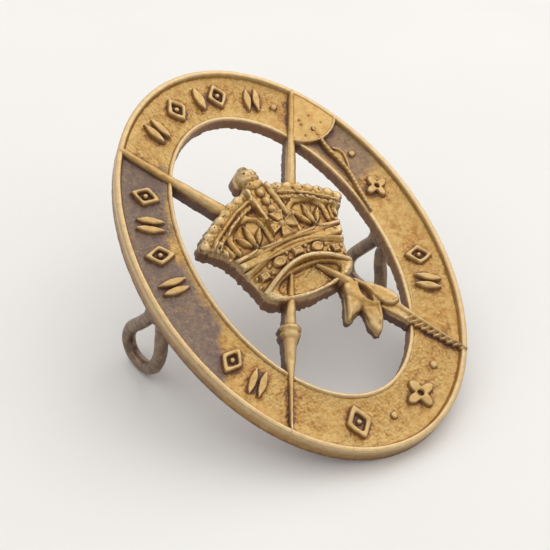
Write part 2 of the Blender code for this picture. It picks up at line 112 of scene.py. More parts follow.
def smooth_noise(u, v, size, seed):
    """Rolling noise from 0 to 1, whose lumps are about size millimetres across."""
    x = u / size
    y = v / size
    i = np.floor(x).astype(int)
    j = np.floor(y).astype(int)
    rows = (j % NOISE_CELLS, (j + 1) % NOISE_CELLS)
    columns = (i % NOISE_CELLS, (i + 1) % NOISE_CELLS)
    return between_cells(noise_table(seed), rows, columns, ease(x - i), ease(y - j))


def stipple(u, v, size, seed):
    """Height from 0 to 1 of irregular punched grains, each about size millimetres across."""
    shift_u = noise_table(seed)
    shift_v = noise_table(seed + 1)
    tall = noise_table(seed + 2)
    stray = 0.7
    grain_radius = 0.72 * size
    i = np.floor(u / size).astype(int)
    j = np.floor(v / size).astype(int)
    height = np.zeros_like(u)
    for di in (-1, 0, 1):
        for dj in (-1, 0, 1):
            a = (i + di) % NOISE_CELLS
            b = (j + dj) % NOISE_CELLS
            cu = (i + di + 0.5 + stray * (shift_u[b, a] - 0.5)) * size
            cv = (j + dj + 0.5 + stray * (shift_v[b, a] - 0.5)) * size
            far = np.hypot(u - cu, v - cv) / grain_radius
            grain = np.clip(1.0 - far * far, 0.0, 1.0) * (0.45 + 0.55 * tall[b, a])
            height = np.maximum(height, grain)
    return height


# ---- plans, as signed distances

def disc(cu, cv, radius):
    return lambda u, v: np.hypot(u - cu, v - cv) - radius


def oval(cu, cv, half_u, half_v):
    small = min(half_u, half_v)
    return lambda u, v: (np.hypot((u - cu) / half_u, (v - cv) / half_v) - 1.0) * small


def run_distance(u, v, start, end):
    """Distance from the straight run between two points, and the share of the way along it."""
    run_u = end[0] - start[0]
    run_v = end[1] - start[1]
    along = (u - start[0]) * run_u + (v - start[1]) * run_v
    t = np.clip(along / (run_u * run_u + run_v * run_v), 0.0, 1.0)
    return np.hypot(u - start[0] - t * run_u, v - start[1] - t * run_v), t


def stroke(start, end, radius, end_radius):
    """Round-ended bar that may taper."""
    def distance(u, v):
        away, t = run_distance(u, v, start, end)
        return away - (radius + (end_radius - radius) * t)
    return distance


def leaf(start, end, half_width):
    """Pointed lens between two points."""
    run_u = end[0] - start[0]
    run_v = end[1] - start[1]
    length = math.hypot(run_u, run_v)

    def distance(u, v):
        along = ((u - start[0]) * run_u + (v - start[1]) * run_v) / length
        across = np.abs(((v - start[1]) * run_u - (u - start[0]) * run_v) / length)
        edge = half_width * np.sin(math.pi * np.clip(along / length, 0.0, 1.0)) ** 0.75
        return np.maximum(across - edge, np.maximum(-along, along - length))
    return distance


def polygon(points):
    runs = list(zip(points, points[1:] + points[:1]))

    def distance(u, v):
        near = np.minimum.reduce([run_distance(u, v, start, end)[0] for start, end in runs])
        inside = np.zeros(u.shape, bool)
        for (au, av), (bu, bv) in runs:
            if av != bv:
                inside ^= ((av > v) != (bv > v)) & (u < (bu - au) * (v - av) / (bv - av) + au)
        return np.where(inside, -near, near)
    return distance


def polyline(points):
    """Distance from an open line of straight runs."""
    runs = list(zip(points, points[1:]))
    return lambda u, v: np.minimum.reduce([run_distance(u, v, start, end)[0] for start, end in runs])


def any_of(*plans):
    return lambda u, v: np.minimum.reduce([plan(u, v) for plan in plans])


def mirrored(plan):
    return lambda u, v: plan(np.abs(u), v)


def step_up(d, soft):
    """1 inside a plan and 0 outside, with a smooth side of that width."""
    return ease(np.clip(0.5 - d / soft, 0.0, 1.0))


def dome(d, radius):
    """0 outside a plan, rising as a quarter round over that distance inside it."""
    t = np.clip(-d / radius, 0.0, 1.0)
    return np.sqrt(np.clip(1.0 - (1.0 - t) ** 2, 0.0, 1.0))


def ridge(away, half_width):
    """Rounded ridge over a line, from the distance to the line."""
    return np.sqrt(np.clip(1.0 - (away / half_width) ** 2, 0.0, 1.0))


def smooth_between(x, start, end):
    return ease(np.clip((x - start) / (end - start), 0.0, 1.0))


# ---- meshes

def to_world(points):
    """Face-frame millimetres to metres in the row frame."""
    p = np.asarray(points, float)
    cos = math.cos(TILT)
    sin = math.sin(TILT)
    world = np.stack([
        p[:, 0],
        ORIGIN_Y + p[:, 1] * cos - p[:, 2] * sin,
        ORIGIN_Z + p[:, 1] * sin + p[:, 2] * cos,
    ], 1)
    return world * MM


def new_object(name, data):
    obj = bpy.data.objects.new(name, data)
    bpy.context.scene.collection.objects.link(obj)
    return obj


def make_object(name, points, faces):
    mesh = bpy.data.meshes.new(name)
    mesh.from_pydata(to_world(points).tolist(), [], faces)
    mesh.validate()
    mesh.shade_smooth()
    mesh.set_sharp_from_angle(angle=SHARP_ANGLE)
    return new_object(name, mesh)


def strip_faces(rows, columns, wrap_rows=False, wrap_columns=False):
    """Quads over a grid of points, row by row."""
    i = np.arange(rows if wrap_rows else rows - 1)
    j = np.arange(columns if wrap_columns else columns - 1)
    ii, jj = np.meshgrid(i, j, indexing="ij")
    up = (ii + 1) % rows
    on = (jj + 1) % columns
    quads = np.stack([ii * columns + jj, ii * columns + on, up * columns + on, up * columns + jj], -1)
    return quads.reshape(-1, 4).tolist()


def record_height(plan, front):
    """Add a piece's front to the height map of the face."""
    u, v = np.meshgrid(MAP_U, MAP_V)
    inside = plan(u, v) < 0.0
    height_map[inside] = np.maximum(height_map[inside], front(u, v)[inside])


def drop_corner_touches(cells):
    """Leave no two cells that meet only at a corner, which would pinch the wall."""
    lower = cells[:-1, :-1] & cells[1:, 1:] & ~cells[:-1, 1:] & ~cells[1:, :-1]
    cells[:-1, :-1] &= ~lower
    upper = cells[:-1, 1:] & cells[1:, :-1] & ~cells[:-1, :-1] & ~cells[1:, 1:]
    cells[:-1, 1:] &= ~upper
    return cells


def reach_of(points, margin=0.2):
    """Corners of the box round some points."""
    us = [p[0] for p in points]
    vs = [p[1] for p in points]
    return (min(us) - margin, min(vs) - margin), (max(us) + margin, max(vs) + margin)


def unit_slope(plan, u, v):
    """Unit direction away from a plan at every point."""
    nudge = 0.02
    slope_u = plan(u + nudge, v) - plan(u - nudge, v)
    slope_v = plan(u, v + nudge) - plan(u, v - nudge)
    size = np.maximum(np.hypot(slope_u, slope_v), 1e-6)
    return slope_u / size, slope_v / size


def grid_cells(inside):
    """Cells of a grid that lie inside, the points they use, and which of those are on the border."""
    cells = inside[:-1, :-1] & inside[1:, :-1] & inside[:-1, 1:] & inside[1:, 1:]
    cells = drop_corner_touches(drop_corner_touches(cells))
    padded = np.pad(cells, 1).astype(int)
    touching = padded[:-1, :-1] + padded[1:, :-1] + padded[:-1, 1:] + padded[1:, 1:]
    used = touching > 0
    return cells, used, used & (touching < 4)


def open_edges(faces, count):
    """Edges that belong to one face only, among count points."""
    edges = np.concatenate([faces[:, [k, (k + 1) % 4]] for k in range(4)])
    key = edges.min(1) * count + edges.max(1)
    first, uses = np.unique(key, return_index=True, return_counts=True)[1:]
    return edges[first[uses == 1]]


def close_plate(top, top_faces, slope, low, draft, ragged):
    """Points and faces of a plate: its front, a wall that goes down ring by ring, and its flat back."""
    rim_edges = open_edges(top_faces, len(top))
    rim = np.unique(rim_edges)
    rim_place = np.full(len(top), -1)
    rim_place[rim] = np.arange(len(rim))
    one = rim_place[rim_edges[:, 0]]
    other = rim_place[rim_edges[:, 1]]
    out = slope[rim]
    points = [top]
    faces = [top_faces]
    above = rim
    start = len(top)
    for level in range(1, WALL_LEVELS):
        share = level / WALL_LEVELS
        lumps = smooth_noise(top[rim, 0], top[rim, 1] + 9.0 * level, 0.22, 40)
        rough = ragged * share * (2.0 * lumps - 0.6)
        ring = top[rim]
        ring[:, :2] += out * (draft * share + rough)[:, None]
        ring[:, 2] += (low - top[rim, 2]) * share
        points.append(ring)
        below = start + np.arange(len(rim))
        faces.append(np.stack([above[other], above[one], below[one], below[other]], 1))
        above = below
        start += len(rim)
    back = top.copy()
    back[:, 2] = low
    rough = ragged * (2.0 * smooth_noise(top[rim, 0], top[rim, 1], 0.25, 41) - 0.6)
    back[rim, :2] += out * (draft + rough)[:, None]
    points.append(back)
    faces.append(np.stack([above[other], above[one], start + rim_edges[:, 0], start + rim_edges[:, 1]], 1))
    faces.append(start + top_faces[:, ::-1])
    return np.concatenate(points), np.concatenate(faces)


def relief(name, plan, front, reach, low=VOID_BASE, step=0.07, edge=0.12, draft=0.08, ragged=0.03):
    """Flat-backed plate over a plan, with rounded upper edges and slightly ragged, drafted walls."""
    (u0, v0), (u1, v1) = reach
    u, v = np.meshgrid(np.arange(u0, u1 + step, step), np.arange(v0, v1 + step, step))
    d = plan(u, v)
    cells, used, border = grid_cells(d < 0.45 * step)

    # Move the border onto the outline
    slope_u, slope_v = unit_slope(plan, u, v)
    move = np.where(border, np.clip(-d, -step, step), 0.0)
    u = u + slope_u * move
    v = v + slope_v * move
    w = front(u, v) - edge * (1.0 - dome(-np.maximum(-plan(u, v), 0.0), edge))

    index = np.full(u.shape, -1)
    index[used] = np.arange(used.sum())
    top = np.stack([u[used], v[used], w[used]], 1)
    j, i = np.nonzero(cells)
    top_faces = np.stack([index[j, i], index[j, i + 1], index[j + 1, i + 1], index[j + 1, i]], 1)
    slope = np.stack([slope_u[used], slope_v[used]], 1)
    points, faces = close_plate(top, top_faces, slope, low, draft, ragged)
    obj = make_object(name, points, faces.tolist())
    record_height(plan, front)
    face_pieces.append((obj, points))
    return obj


def oval_point(size, angle, outward=0.0):
    """Point on the parallel curve of an ellipse, a set distance outside it."""
    half_width, half_height = size
    u = half_width * np.cos(angle)
    v = half_height * np.sin(angle)
    nu = np.cos(angle) / half_width
    nv = np.sin(angle) / half_height
    length = np.hypot(nu, nv)
    return u + nu / length * outward, v + nv / length * outward


def sweep_oval(name, section):
    """Ring swept round the badge. section(angle) gives a closed loop as arrays of u, v and w."""
    angle = np.arange(SWEEP_STEPS) * math.tau / SWEEP_STEPS
    u, v, w = section(angle[:, None])
    points = np.stack([u.ravel(), v.ravel(), w.ravel()], 1)
    faces = strip_faces(SWEEP_STEPS, u.shape[1], wrap_rows=True, wrap_columns=True)
    obj = make_object(name, points, faces)
    face_pieces.append((obj, points))
    return obj


def outside_oval(size):
    """Signed distance from an ellipse, close enough near it."""
    half_width, half_height = size

    def distance(u, v):
        ratio = np.hypot(u / half_width, v / half_height)
        slope = np.hypot(u / half_width ** 2, v / half_height ** 2)
        return (ratio - 1.0) * ratio / np.maximum(slope, 1e-6)
    return distance


# ---- ring: outer rim, band and inner rim

def rim_loop(size, profile, right_share):
    """Section of a rim from (outward, w, roughness) rows. Its right side keeps that share of its rise."""
    outward, height, rough = np.array(profile).T

    def section(angle):
        u, v = oval_point(size, angle, outward)
        wave = smooth_noise(u + 40.0, v + 40.0, 1.7, 1) - 0.5
        nick = smooth_noise(u + 40.0, v + 40.0 + 3.0 * height, 0.32, 2) - 0.5
        shift = -np.abs(0.05 * wave + 0.09 * nick) * rough
        u, v = oval_point(size, angle, outward + shift * np.where(outward > -0.5, 1.0, -1.0))
        rise = 1.0 - (1.0 - right_share) * smooth_between(np.cos(angle), -0.3, 0.5)
        w = np.where(height > GROUND, GROUND + (height - GROUND) * rise, height)
        w = w + np.where(height > 0.5, 0.03 * wave, 0.0) + 0.02 * nick * rough
        return u, v, w
    return section


def rim_profile(top, foot, bead, crest, width, wall_rough):
    """Rim section from its wall inwards: wall, rounded edge, flat crest and a step down to the ground."""
    profile = [(0.0, share * (top - bead), wall_rough * (1.0 - share))
               for share in (0.0, 0.2, 0.4, 0.6, 0.8)]
    for k in range(7):
        turn = math.pi / 2 * k / 6
        profile.append((bead * (1.0 - math.cos(turn)), top - bead * (1.0 - math.sin(turn)), 0.5))
    for k in range(1, 4):
        profile.append((bead + (crest - bead) * k / 3, top + 0.02 * math.sin(math.pi * k / 3), 0.35))
    for k in range(1, 11):
        t = k / 10
        profile.append((crest + (width - crest) * t, foot + (top - foot) * rim_fall(t), 0.3))
    profile.append((width, 0.02, 0.0))
    return profile


def rim_fall(t):
    """Share of a rim's height left, from its crest (0) to the ground (1): steep, then easing out."""
    return (1.0 - smooth_between(t, 0.0, 0.55)) * 0.75 + 0.25 * (1.0 - smooth_between(t, 0.1, 1.0))


def make_rim(name, size, side, gap, top, foot, bead, crest, width, wall_rough, right_share):
    """Rim along an oval: side is 1 if it spreads outwards from the oval and -1 if inwards."""
    profile = rim_profile(top, foot, bead, crest, width, wall_rough)
    loop = [(side * spread - gap, w, rough) for spread, w, rough in profile]
    piece = sweep_oval(name, rim_loop(size, loop, right_share))
    outside = outside_oval(size)

    def plan(u, v):
        return np.abs(side * outside(u, v) - 0.5 * width) - 0.5 * width

    def front(u, v):
        share = np.clip((side * outside(u, v) - crest) / (width - crest), 0.0, 1.0)
        return GROUND + (top - GROUND) * rim_fall(share)

    record_height(plan, front)
    return piece


def make_outer_rim():
    return make_rim("struck_outer_rim", OUTER, -1, gap=0.01, top=RIM_TOP - 0.02, foot=GROUND - 0.1,
                    bead=0.2, crest=0.48, width=OUTER_RIM_WIDTH, wall_rough=0.5, right_share=1.0)


def make_inner_rim():
    return make_rim("struck_inner_rim", OPENING, 1, gap=0.0, top=INNER_RIM_TOP, foot=GROUND - 0.12,
                    bead=0.1, crest=0.26, width=INNER_RIM_WIDTH, wall_rough=2.2, right_share=0.45)


def ground_height(u, v):
    """Finely stippled ground of the band, worn nearly smooth in places."""
    grain = stipple(u + 60.0, v + 60.0, 0.26, 11)
    worn = smooth_between(smooth_noise(u + 60.0, v + 60.0, 2.6, 14), 0.2, 0.65)
    roll = smooth_noise(u + 60.0, v + 60.0, 1.2, 16)
    fine = smooth_noise(u + 60.0, v + 60.0, 0.14, 15)
    return GROUND - 0.09 + 0.09 * grain * (0.4 + 0.6 * worn) + 0.05 * roll + 0.03 * fine


def make_band():
    """Stippled band that rises a little towards both rims, and runs in under them."""
    across = 60
    bank = 0.26

    def section(angle):
        outer_u, outer_v = oval_point(OUTER, angle, 0.5 - OUTER_RIM_WIDTH)
        inner_u, inner_v = oval_point(OPENING, angle, INNER_RIM_WIDTH - 0.45)
        share = np.concatenate([np.linspace(0.0, 1.0, across), [1.0, 0.66, 0.33, 0.0]])
        front = np.arange(len(share)) < across
        u = outer_u + (inner_u - outer_u) * share
        v = outer_v + (inner_v - outer_v) * share
        rise = 0.12 * smooth_between(bank - share, 0.0, bank)
        rise = rise + 0.1 * smooth_between(share + bank - 1.0, 0.0, bank)
        w = np.where(front, ground_height(u, v) + rise, 0.0)
        return u, v, w

    piece = sweep_oval("stippled_band", section)
    outer = outside_oval(OUTER)
    inner = outside_oval(OPENING)
    record_height(lambda u, v: np.maximum(outer(u, v), -inner(u, v)),
                  lambda u, v: np.full_like(u, GROUND - 0.04))
    return piece


# ---- staves

def on_staff(lean, along, across):
    """Point on a staff: lean is 1 for the axe staff and -1 for the long club, and along runs upwards."""
    cos = math.cos(STAFF_SLOPE) * lean
    sin = math.sin(STAFF_SLOPE)
    return cos * along + sin * across, sin * along - cos * across


def staff_coordinates(lean, u, v):
    """The opposite: (along, across) of a point on the face."""
    cos = math.cos(STAFF_SLOPE) * lean
    sin = math.sin(STAFF_SLOPE)
    return cos * u + sin * v, sin * u - cos * v


def staff_reach(lean, along, half_width):
    return reach_of([on_staff(lean, a, c) for a in along for c in (-half_width, half_width)])


def turned_bar(name, lean, stations):
    """Half-round bar along a staff. Each station is (along, half width, top)."""
    at, widths, tops = np.array(sorted(stations)).T
    wobble_seed = 53 if lean > 0 else 50

    def half_width(along):
        wobble = 0.05 * (smooth_noise(along + 30.0, along * 0.0, 0.9, wobble_seed) - 0.5)
        return np.interp(along, at, widths) + wobble

    def plan(u, v):
        along, across = staff_coordinates(lean, u, v)
        side = np.abs(across) - half_width(along)
        ends = np.maximum(at[0] - along, along - at[-1])
        return np.maximum(side, ends)

    def front(u, v):
        along, across = staff_coordinates(lean, u, v)
        top = np.interp(along, at, tops)
        t = np.clip(np.abs(across) / half_width(along), 0.0, 1.0)
        body = top - (top - VOID_BASE) * 0.42 * (1.0 - np.sqrt(np.clip(1.0 - t ** 2.2, 0.0, 1.0)))
        return body + 0.05 * (smooth_noise(along * 0.7 + 20.0, across * 3.0 + 20.0, 0.3, 55) - 0.5)

    return relief(name, plan, front, staff_reach(lean, (at[0], at[-1]), widths.max() + 0.1),
                  edge=0.05, draft=0.06, ragged=0.05)


def make_shafts():
    pieces = {}
    pieces["club_upper_shaft"] = turned_bar("long_club_shaft", -1, [
        (6.6, 0.72, 1.78), (10.0, 0.64, 1.76), (13.0, 0.54, 1.76), (15.6, 0.46, 1.8), (17.2, 0.46, 1.84),
        (17.7, 0.46, 1.92), (STAFF_END, 0.4, 1.88)])
    pieces["axe_upper_shaft"] = turned_bar("axe_staff_shaft", 1, [
        (5.6, 0.58, 1.78), (10.0, 0.54, 1.76), (13.0, 0.46, 1.78), (15.6, 0.4, 1.82), (17.2, 0.38, 1.84),
        (17.7, 0.38, 1.92), (STAFF_END, 0.34, 1.88)])
    pieces["axe_lower_shaft"] = turned_bar("axe_staff_butt", 1, [
        (-2.6, 0.36, 1.78), (-4.6, 0.42, 1.8), (-6.6, 0.52, 1.8), (-7.75, 0.56, 1.82), (-7.85, 0.86, 2.0),
        (-8.15, 1.0, 2.1), (-8.35, 0.9, 2.0), (-8.5, 0.78, 1.96), (-8.7, 0.94, 2.08), (-9.0, 0.84, 2.04),
        (-9.3, 0.66, 1.92), (-10.2, 0.6, 1.84), (-11.4, 0.52, 1.76), (-13.0, 0.36, 1.8), (-15.0, 0.26, 1.8),
        (-17.2, 0.2, 1.84), (-17.7, 0.18, 1.9), (-STAFF_END, 0.14, 1.86)])
    pieces["club_collar"] = turned_bar("club_neck", -1, [
        (-2.6, 0.36, 1.78), (-3.6, 0.42, 2.0), (-5.0, 0.46, 2.14), (-6.1, 0.6, 2.2)])
    return pieces


def serrated_blade():
    """Blade below the feather tuft: a smooth raised back, and slanting teeth along its lower edge."""
    start = -8.4
    tip = -18.4
    tooth_pitch = 0.62

    def edges(along):
        share = np.clip((start - along) / (start - tip), 0.0, 1.0)
        return 1.05 - 0.9 * share, -0.62 + 0.5 * share

    def teeth(along, across):
        return np.cos(math.tau * (along + 0.9 * across) / tooth_pitch)

    def plan(u, v):
        along, across = staff_coordinates(-1, u, v)
        upper, lower = edges(along)
        bite = 0.08 * teeth(along, across) * smooth_between(-along, 12.2, 12.8)
        return np.maximum(np.maximum(across - upper, lower - bite - across),
                          np.maximum(along - start, tip - along))

    def front(u, v):
        along, across = staff_coordinates(-1, u, v)
        upper, lower = edges(along)
        share = np.clip((across - lower) / (upper - lower), 0.0, 1.0)
        back = ridge(np.abs(share - 0.8), 0.24)
        toothed = smooth_between(-along, 11.8, 12.6) * step_up(share - 0.6, 0.2)
        height = 1.74 + 0.12 * back + 0.06 * share + 0.09 * (teeth(along, across) - 0.3) * toothed
        height += 0.14 * smooth_between(-along, 16.6, 17.3)
        return height + 0.05 * smooth_noise(u * 2.0 + 30.0, v + 30.0, 0.4, 60)

    return relief("club_serrated_blade", plan, front, staff_reach(-1, (start, tip), 1.4),
                  step=0.06, edge=0.09, draft=0.05, ragged=0.08)


def rounded_corners(points):
    """Closed outline with its corners cut back evenly, twice."""
    for _ in range(2):
        cut_points = []
        for (au, av), (bu, bv) in zip(points, points[1:] + points[:1]):
            cut_points.append((0.75 * au + 0.25 * bu, 0.75 * av + 0.25 * bv))
            cut_points.append((0.25 * au + 0.75 * bu, 0.25 * av + 0.75 * bv))
        points = cut_points
    return points


def feather_tuft():
    """Feathers that curl over the club's neck: two hanging points, and a loop that lies on the blade."""
    def shape(points):
        return polygon(rounded_corners([on_staff(-1, along, across) for along, across in points]))

    def line(points):
        return polyline([on_staff(-1, along, across) for along, across in points])

    head = shape([(-5.5, 0.4), (-5.6, -0.7), (-6.3, -1.5), (-7.6, -1.7), (-8.9, -1.4), (-9.7, -0.7),
                  (-9.3, 0.4), (-8.3, 0.85), (-6.8, 0.75)])
    left_point = shape([(-5.9, -0.1), (-6.1, -1.0), (-6.7, -2.0), (-7.2, -2.9), (-7.6, -3.75), (-8.0, -3.5),
                        (-7.95, -2.7), (-8.3, -1.8), (-8.3, -0.7)])
    middle_point = shape([(-7.4, -0.6), (-8.2, -1.7), (-9.0, -2.1), (-9.5, -2.7), (-10.0, -3.0),
                          (-10.8, -3.3), (-10.7, -2.4), (-10.3, -1.4), (-9.8, -0.5), (-9.2, -0.1)])
    leaf_lobe = shape([(-7.0, 0.1), (-7.3, 0.95), (-8.4, 1.2), (-9.4, 1.5), (-10.4, 1.45), (-11.0, 0.95),
                       (-10.7, 0.1), (-9.9, -0.3), (-8.8, -0.2)])
    slot = leaf(on_staff(-1, -6.9, 0.12), on_staff(-1, -8.75, -0.62), 0.3)
    loop_edge = line([(-6.4, 0.45), (-7.6, 0.4), (-8.8, 0.0), (-9.75, -0.12), (-10.4, 0.2), (-10.65, 0.8)])
    left_vein = line([(-6.0, -0.8), (-6.7, -2.1), (-7.5, -3.3)])
    middle_vein = line([(-8.3, -1.1), (-9.4, -2.0), (-10.6, -2.9)])
    middle_edge = line([(-9.3, -0.5), (-10.2, -1.5), (-10.75, -2.7)])
    low_feathers = 0.7
    rounded = 0.05

    def plan(u, v):
        return any_of(head, left_point, middle_point, leaf_lobe)(u, v) - rounded

    def front(u, v):
        height = 1.75 + 0.4 * dome(head(u, v), 0.8)
        height = np.maximum(height, 1.5 + 0.55 * dome(left_point(u, v) - rounded, 0.85))
        height = np.maximum(height, 1.55 + 0.42 * dome(middle_point(u, v) - rounded, 0.7))
        lobe = leaf_lobe(u, v)
        height = np.maximum(height, 1.98 * step_up(lobe - 0.05, 0.16) + 0.12 * dome(lobe, 0.5))
        height += 0.22 * ridge(loop_edge(u, v), 0.2)
        height += 0.08 * ridge(left_vein(u, v), 0.4)
        height -= 0.1 * ridge(middle_vein(u, v), 0.5)
        height += 0.16 * ridge(middle_edge(u, v), 0.2)
        height -= 0.5 * step_up(slot(u, v), 0.3)
        return height + 0.1 * (smooth_noise(u + 30.0, v + 30.0, 0.4, 61) - 0.5)

    return relief("club_feather_tuft_relief", plan, front, staff_reach(-1, (-5.0, -11.5), 5.2),
                  low_feathers, step=0.06, edge=0.22, draft=0.0, ragged=0.12)


# ---- axe blade and cord

def axe_blade():
    """Blade that runs out into the outer rim, with a thin raised edge, a hole for the cord, and pits."""
    belly = [(15.8, 4.45), (15.2, 4.4), (14.4, 4.15), (13.6, 3.65), (12.95, 3.05), (12.5, 2.1),
             (12.25, 1.1), (12.25, 0.3)]
    rim_side = [oval_point(OUTER, math.radians(angle), -0.2) for angle in (48.0, 44.0, 40.0, 36.0, 33.5)]
    outline = [on_staff(1, 12.1, 0.0), on_staff(1, 17.9, 0.0)] + rim_side
    outline += [on_staff(1, along, across) for along, across in belly]
    plan = polygon(outline)
    lip = polyline([on_staff(1, along - 0.02, across - 0.1) for along, across in belly])
    hole = disc(*on_staff(1, 14.0, 2.15), 0.2)
    collar = disc(*on_staff(1, 14.0, 2.15), 0.42)
    pits = [disc(*on_staff(1, along, across), radius) for along, across, radius in (
        (14.8, 0.75, 0.13), (14.3, 0.95, 0.15), (15.5, 1.7, 0.09), (13.1, 1.4, 0.1), (14.9, 2.9, 0.08))]

    def front(u, v):
        along, across = staff_coordinates(1, u, v)
        height = 1.66 + 0.09 * smooth_between(across + 0.6 * (along - 14.0), 0.5, 3.5)
        height += 0.03 * smooth_noise(u + 30.0, v + 30.0, 0.7, 62)
        height += 0.12 * ridge(lip(u, v), 0.2)
        height += 0.05 * dome(collar(u, v), 0.3)
        height -= 0.3 * step_up(hole(u, v), 0.16)
        for pit in pits:
            height -= 0.1 * step_up(pit(u, v), 0.14)
        return height

    return relief("axe_blade_relief", plan, front, reach_of(outline), GROUND - 0.2,
                  step=0.06, edge=0.1, draft=0.1)


def feather_cord():
    """Cord from the hole in the blade along the inner rim, with a hollow feather beside it."""
    cord = [(9.26, 10.86), (9.4, 9.9), (9.4, 8.9), (9.5, 8.0), (9.75, 7.0), (9.95, 5.95), (10.0, 4.9),
            (9.92, 3.9), (9.8, 2.8), (9.72, 1.8), (9.66, 0.7)]
    along_cord = polyline(cord)
    feather = polygon([(9.45, 8.25), (9.8, 8.38), (10.2, 8.25), (10.6, 7.85), (10.8, 7.3), (10.75, 6.7),
                       (10.5, 5.9), (10.2, 5.3), (9.95, 5.0), (9.85, 5.9), (9.7, 7.0)])
    feather_edge = polyline([(10.05, 8.2), (10.5, 7.8), (10.68, 7.3), (10.62, 6.7), (10.4, 5.9),
                             (10.1, 5.3)])
    plan = any_of(lambda u, v: along_cord(u, v) - 0.2 + 0.08 * smooth_between(5.0 - v, 0.0, 5.0),
                  lambda u, v: feather(u, v) - 0.05)

    def front(u, v):
        twist = 0.03 * np.sin(14.0 * (u + v))
        rope = 1.58 + twist + 0.24 * ridge(along_cord(u, v), 0.22)
        blade = 1.42 * step_up(feather(u, v), 0.1) + 0.24 * ridge(feather_edge(u, v), 0.17)
        return np.maximum(rope * (along_cord(u, v) < 0.22), blade)

    low, high = reach_of(cord, 0.6)
    reach = low, (high[0] + 0.6, high[1])
    return relief("axe_feather_cord_relief", plan, front, reach, GROUND - 0.2,
                  step=0.05, edge=0.06, draft=0.06)


# ---- crown

CROWN_TOP_LINE = [(0.0, 7.1), (1.9, 6.9), (3.9, 6.15), (5.7, 5.1), (7.0, 4.3), (7.75, 3.6)]
CROWN_SIDE = [(7.3, 2.6), (6.3, 1.5), (5.65, 0.35)]
HEADBAND_TOP = (5.65, -0.02, 0.77)
HEADBAND_FOOT = (4.75, -3.5, 1.75)
BASE_CENTRE = (0.0, -3.3)
BASE_SIZE = (4.75, 1.6)


def bow(spec, u):
    """v of a shallow curve across the crown: (half width, v at its ends, rise)."""
    half, ends, rise = spec
    return ends + rise * np.cos(math.pi / 2 * np.clip(u / half, -1.0, 1.0))


def crown_swell(u, v):
    """Bulging front of the crown, before its ornaments."""
    across = np.clip(1.0 - (u / 8.3) ** 2, 0.0, 1.0)
    up = np.clip(1.0 - ((v - 1.6) / 7.2) ** 2, 0.0, 1.0)
    return 1.5 + 1.0 * across * up


def pearls_along(points, first, spacing, inset):
    """Centres of pearls at an even spacing along a line, moved a little to its right-hand side."""
    centres = []
    travelled = 0.0
    following = first
    for (au, av), (bu, bv) in zip(points, points[1:]):
        length = math.hypot(bu - au, bv - av)
        while following <= travelled + length:
            t = (following - travelled) / length
            side = ((bv - av) / length, -(bu - au) / length)
            centres.append((au + (bu - au) * t + side[0] * inset, av + (bv - av) * t + side[1] * inset))
            following += spacing
        travelled += length
    return centres


